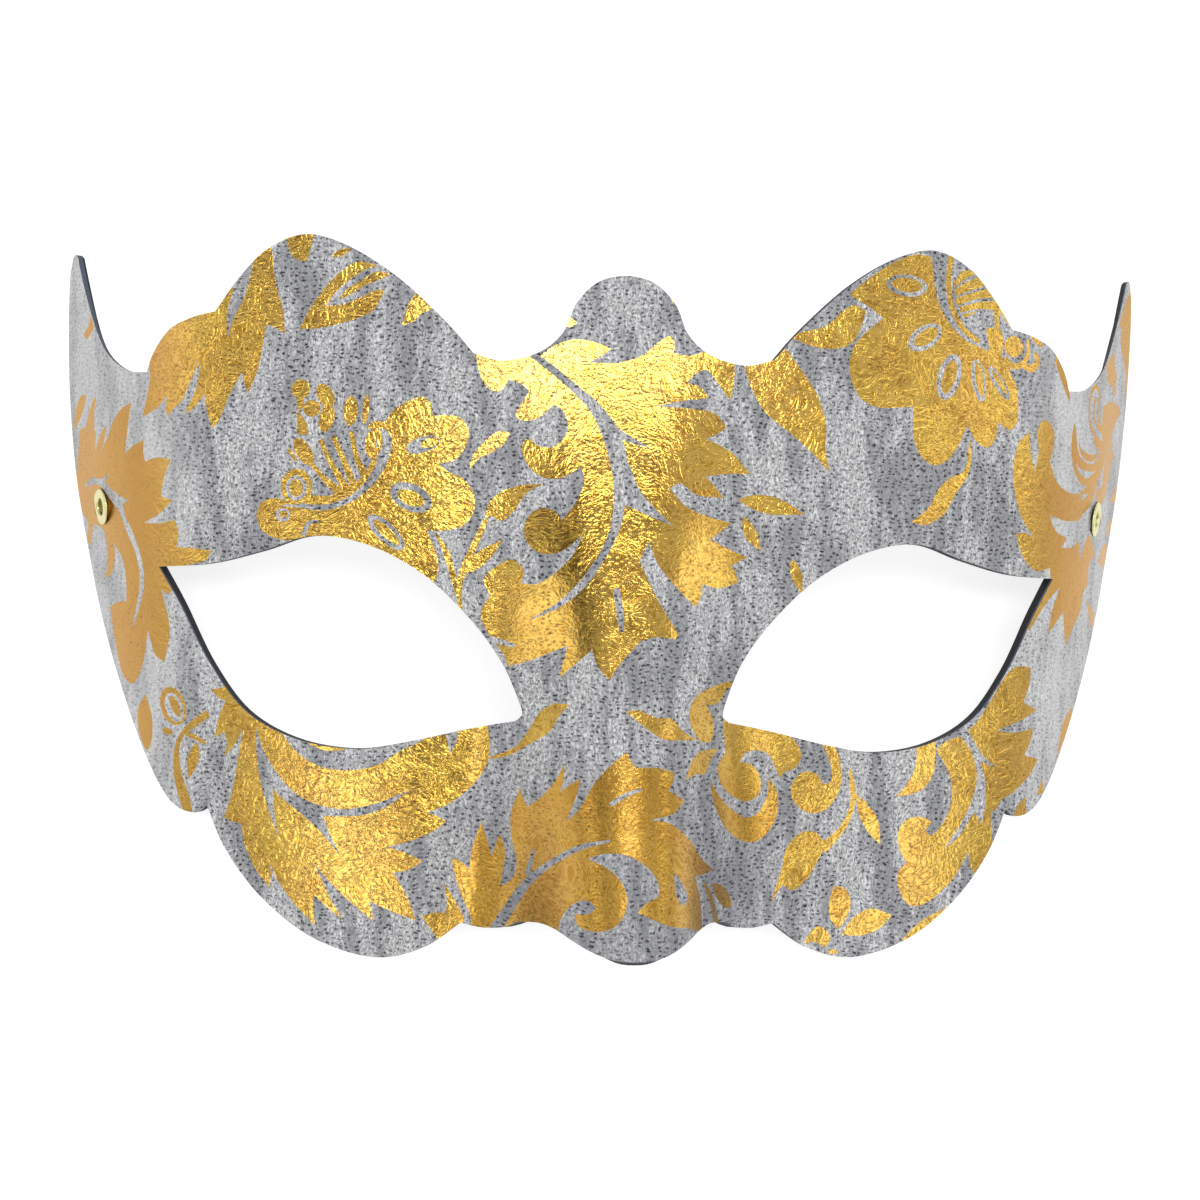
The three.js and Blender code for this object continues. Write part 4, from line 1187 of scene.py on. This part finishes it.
# The floor, a plain pale sheet that glows a little, so that shadows stay soft
floorFinish = {"colour": (0.4, 0.4, 0.4), "glow": 0.76, "size": 6}  # size in metres
bpy.ops.mesh.primitive_plane_add(size=floorFinish["size"])
floor = bpy.context.object
floor.name = "floor"
material, tree, shader = newMaterial("paleFloor")
setInputs(tree, shader, {
    "Base Color": (*floorFinish["colour"], 1),
    "Roughness": 0.8,
    "Emission Color": (1, 1, 1, 1),
    "Emission Strength": floorFinish["glow"],
})
floor.data.materials.append(material)

# The camera looks straight at the mask's front from a third of a metre, a little from its left
camera = {
    "distance": 330,  # mm
    "yaw": 0.08276,  # radians
    "roll": -0.01286,
    "aside": (3.358, -0.117, 0),
    "lens": 67.02,
    "sensor": 36,
}
turned = Matrix.Rotation(camera["roll"], 3, "Z") @ Matrix.Rotation(camera["yaw"], 3, "Y")
eyePlace = turned.transposed() @ (Vector((0, 0, camera["distance"])) - Vector(camera["aside"]))
view = restFrame @ Matrix.Translation(eyePlace) @ turned.transposed().to_4x4()
view.translation = view.translation * mm
photoCamera = bpy.data.objects.new("photoCamera", bpy.data.cameras.new("photoCamera"))
bpy.context.collection.objects.link(photoCamera)
photoCamera.data.lens = camera["lens"]
photoCamera.data.sensor_width = camera["sensor"]
photoCamera.data.clip_start = 0.01
photoCamera.matrix_world = view
bpy.context.scene.camera = photoCamera

# Soft studio light. Each box leans from straight above by so many degrees towards +X and +Y.
boxDistance = 1.0  # metres
lights = {
    "topBox": {"lean": (0, -4), "size": (0.72, 0.19), "glow": 9.2},
    "ridgeBox": {"lean": (4, 28), "size": (0.2, 0.3), "glow": 3.2},
    "topLeftBox": {"lean": (-11, -11), "size": (0.24, 0.1), "glow": 1.8},
    "frontLeftBox": {"lean": (-33, -25), "size": (0.3, 0.22), "glow": 3.0},
    "frontRightBox": {"lean": (45, -26), "size": (0.4, 0.3), "glow": 1.7},
    "leftBox": {"lean": (-62, 4), "size": (0.3, 0.45), "glow": 1.35},
    "rightBox": {"lean": (60, 6), "size": (0.3, 0.35), "glow": 1.5},
}
# How bright the room is, by the sine of the height over the floor: palest some 35 degrees up
surroundings = [(0, 0.8), (0.3, 0.76), (0.58, 0.9), (0.8, 0.86), (0.93, 0.8), (1, 0.8)]
# Dark things overhead, by the X and Y of the direction to their edges, and how much they shade
overhead = [
    ((-0.66, 0.4), (0.03, 0.2), 0.95),
    ((-0.78, -0.6), (-0.04, 0.17), 0.7),
    ((-0.8, -0.42), (0.2, 0.36), 0.45),
    ((-0.5, -0.25), (-0.42, -0.2), 0.93),
    ((0.5, 0.7), (0.07, 0.2), 0.3),
]


def addBox(name, lean, size, glow):
    light = bpy.data.lights.new(name, "AREA")
    light.shape = "RECTANGLE"
    light.size, light.size_y = size
    light.energy = glow * pi * size[0] * size[1]
    angle = radians(hypot(*lean))
    turn = atan2(lean[1], lean[0])
    away = Vector((sin(angle) * cos(turn), sin(angle) * sin(turn), cos(angle)))
    box = bpy.data.objects.new(name, light)
    bpy.context.collection.objects.link(box)
    box.location = away * boxDistance
    box.rotation_euler = away.to_track_quat("Z", "Y").to_euler()


for name, values in lights.items():
    addBox(name, **values)
world = bpy.data.worlds.new("studio")
bpy.context.scene.world = world
world.use_nodes = True
sky = world.node_tree
skyPlace = addNode(sky, "TexCoord", {}).outputs["Generated"]
walls = addNode(sky, "ValToRGB", {"Fac": onAxis(sky, skyPlace, "Z")})
walls.color_ramp.interpolation = "EASE"
for number, (height, glow) in enumerate(surroundings):
    stop = walls.color_ramp.elements[number] if number < 2 else walls.color_ramp.elements.new(height)
    stop.position = height
    stop.color = (glow, glow, glow, 1)


def withinEdges(axis, low, high, soft=0.05):
    value = onAxis(sky, skyPlace, axis)
    above = ramp(sky, value, low - soft, low + soft)
    under = ramp(sky, value, high - soft, high + soft, 1.0, 0.0)
    return times(sky, above, under)


room = walls.outputs["Color"]
for edgesX, edgesY, shade in overhead:
    patch = times(sky, withinEdges("X", *edgesX), withinEdges("Y", *edgesY))
    room = mixColour(sky, times(sky, patch, shade), room, (0.0, 0.0, 0.0))
setInputs(sky, sky.nodes["Background"], {"Color": room})
bpy.context.scene.view_settings.view_transform = "Standard"
print("camera and lights")
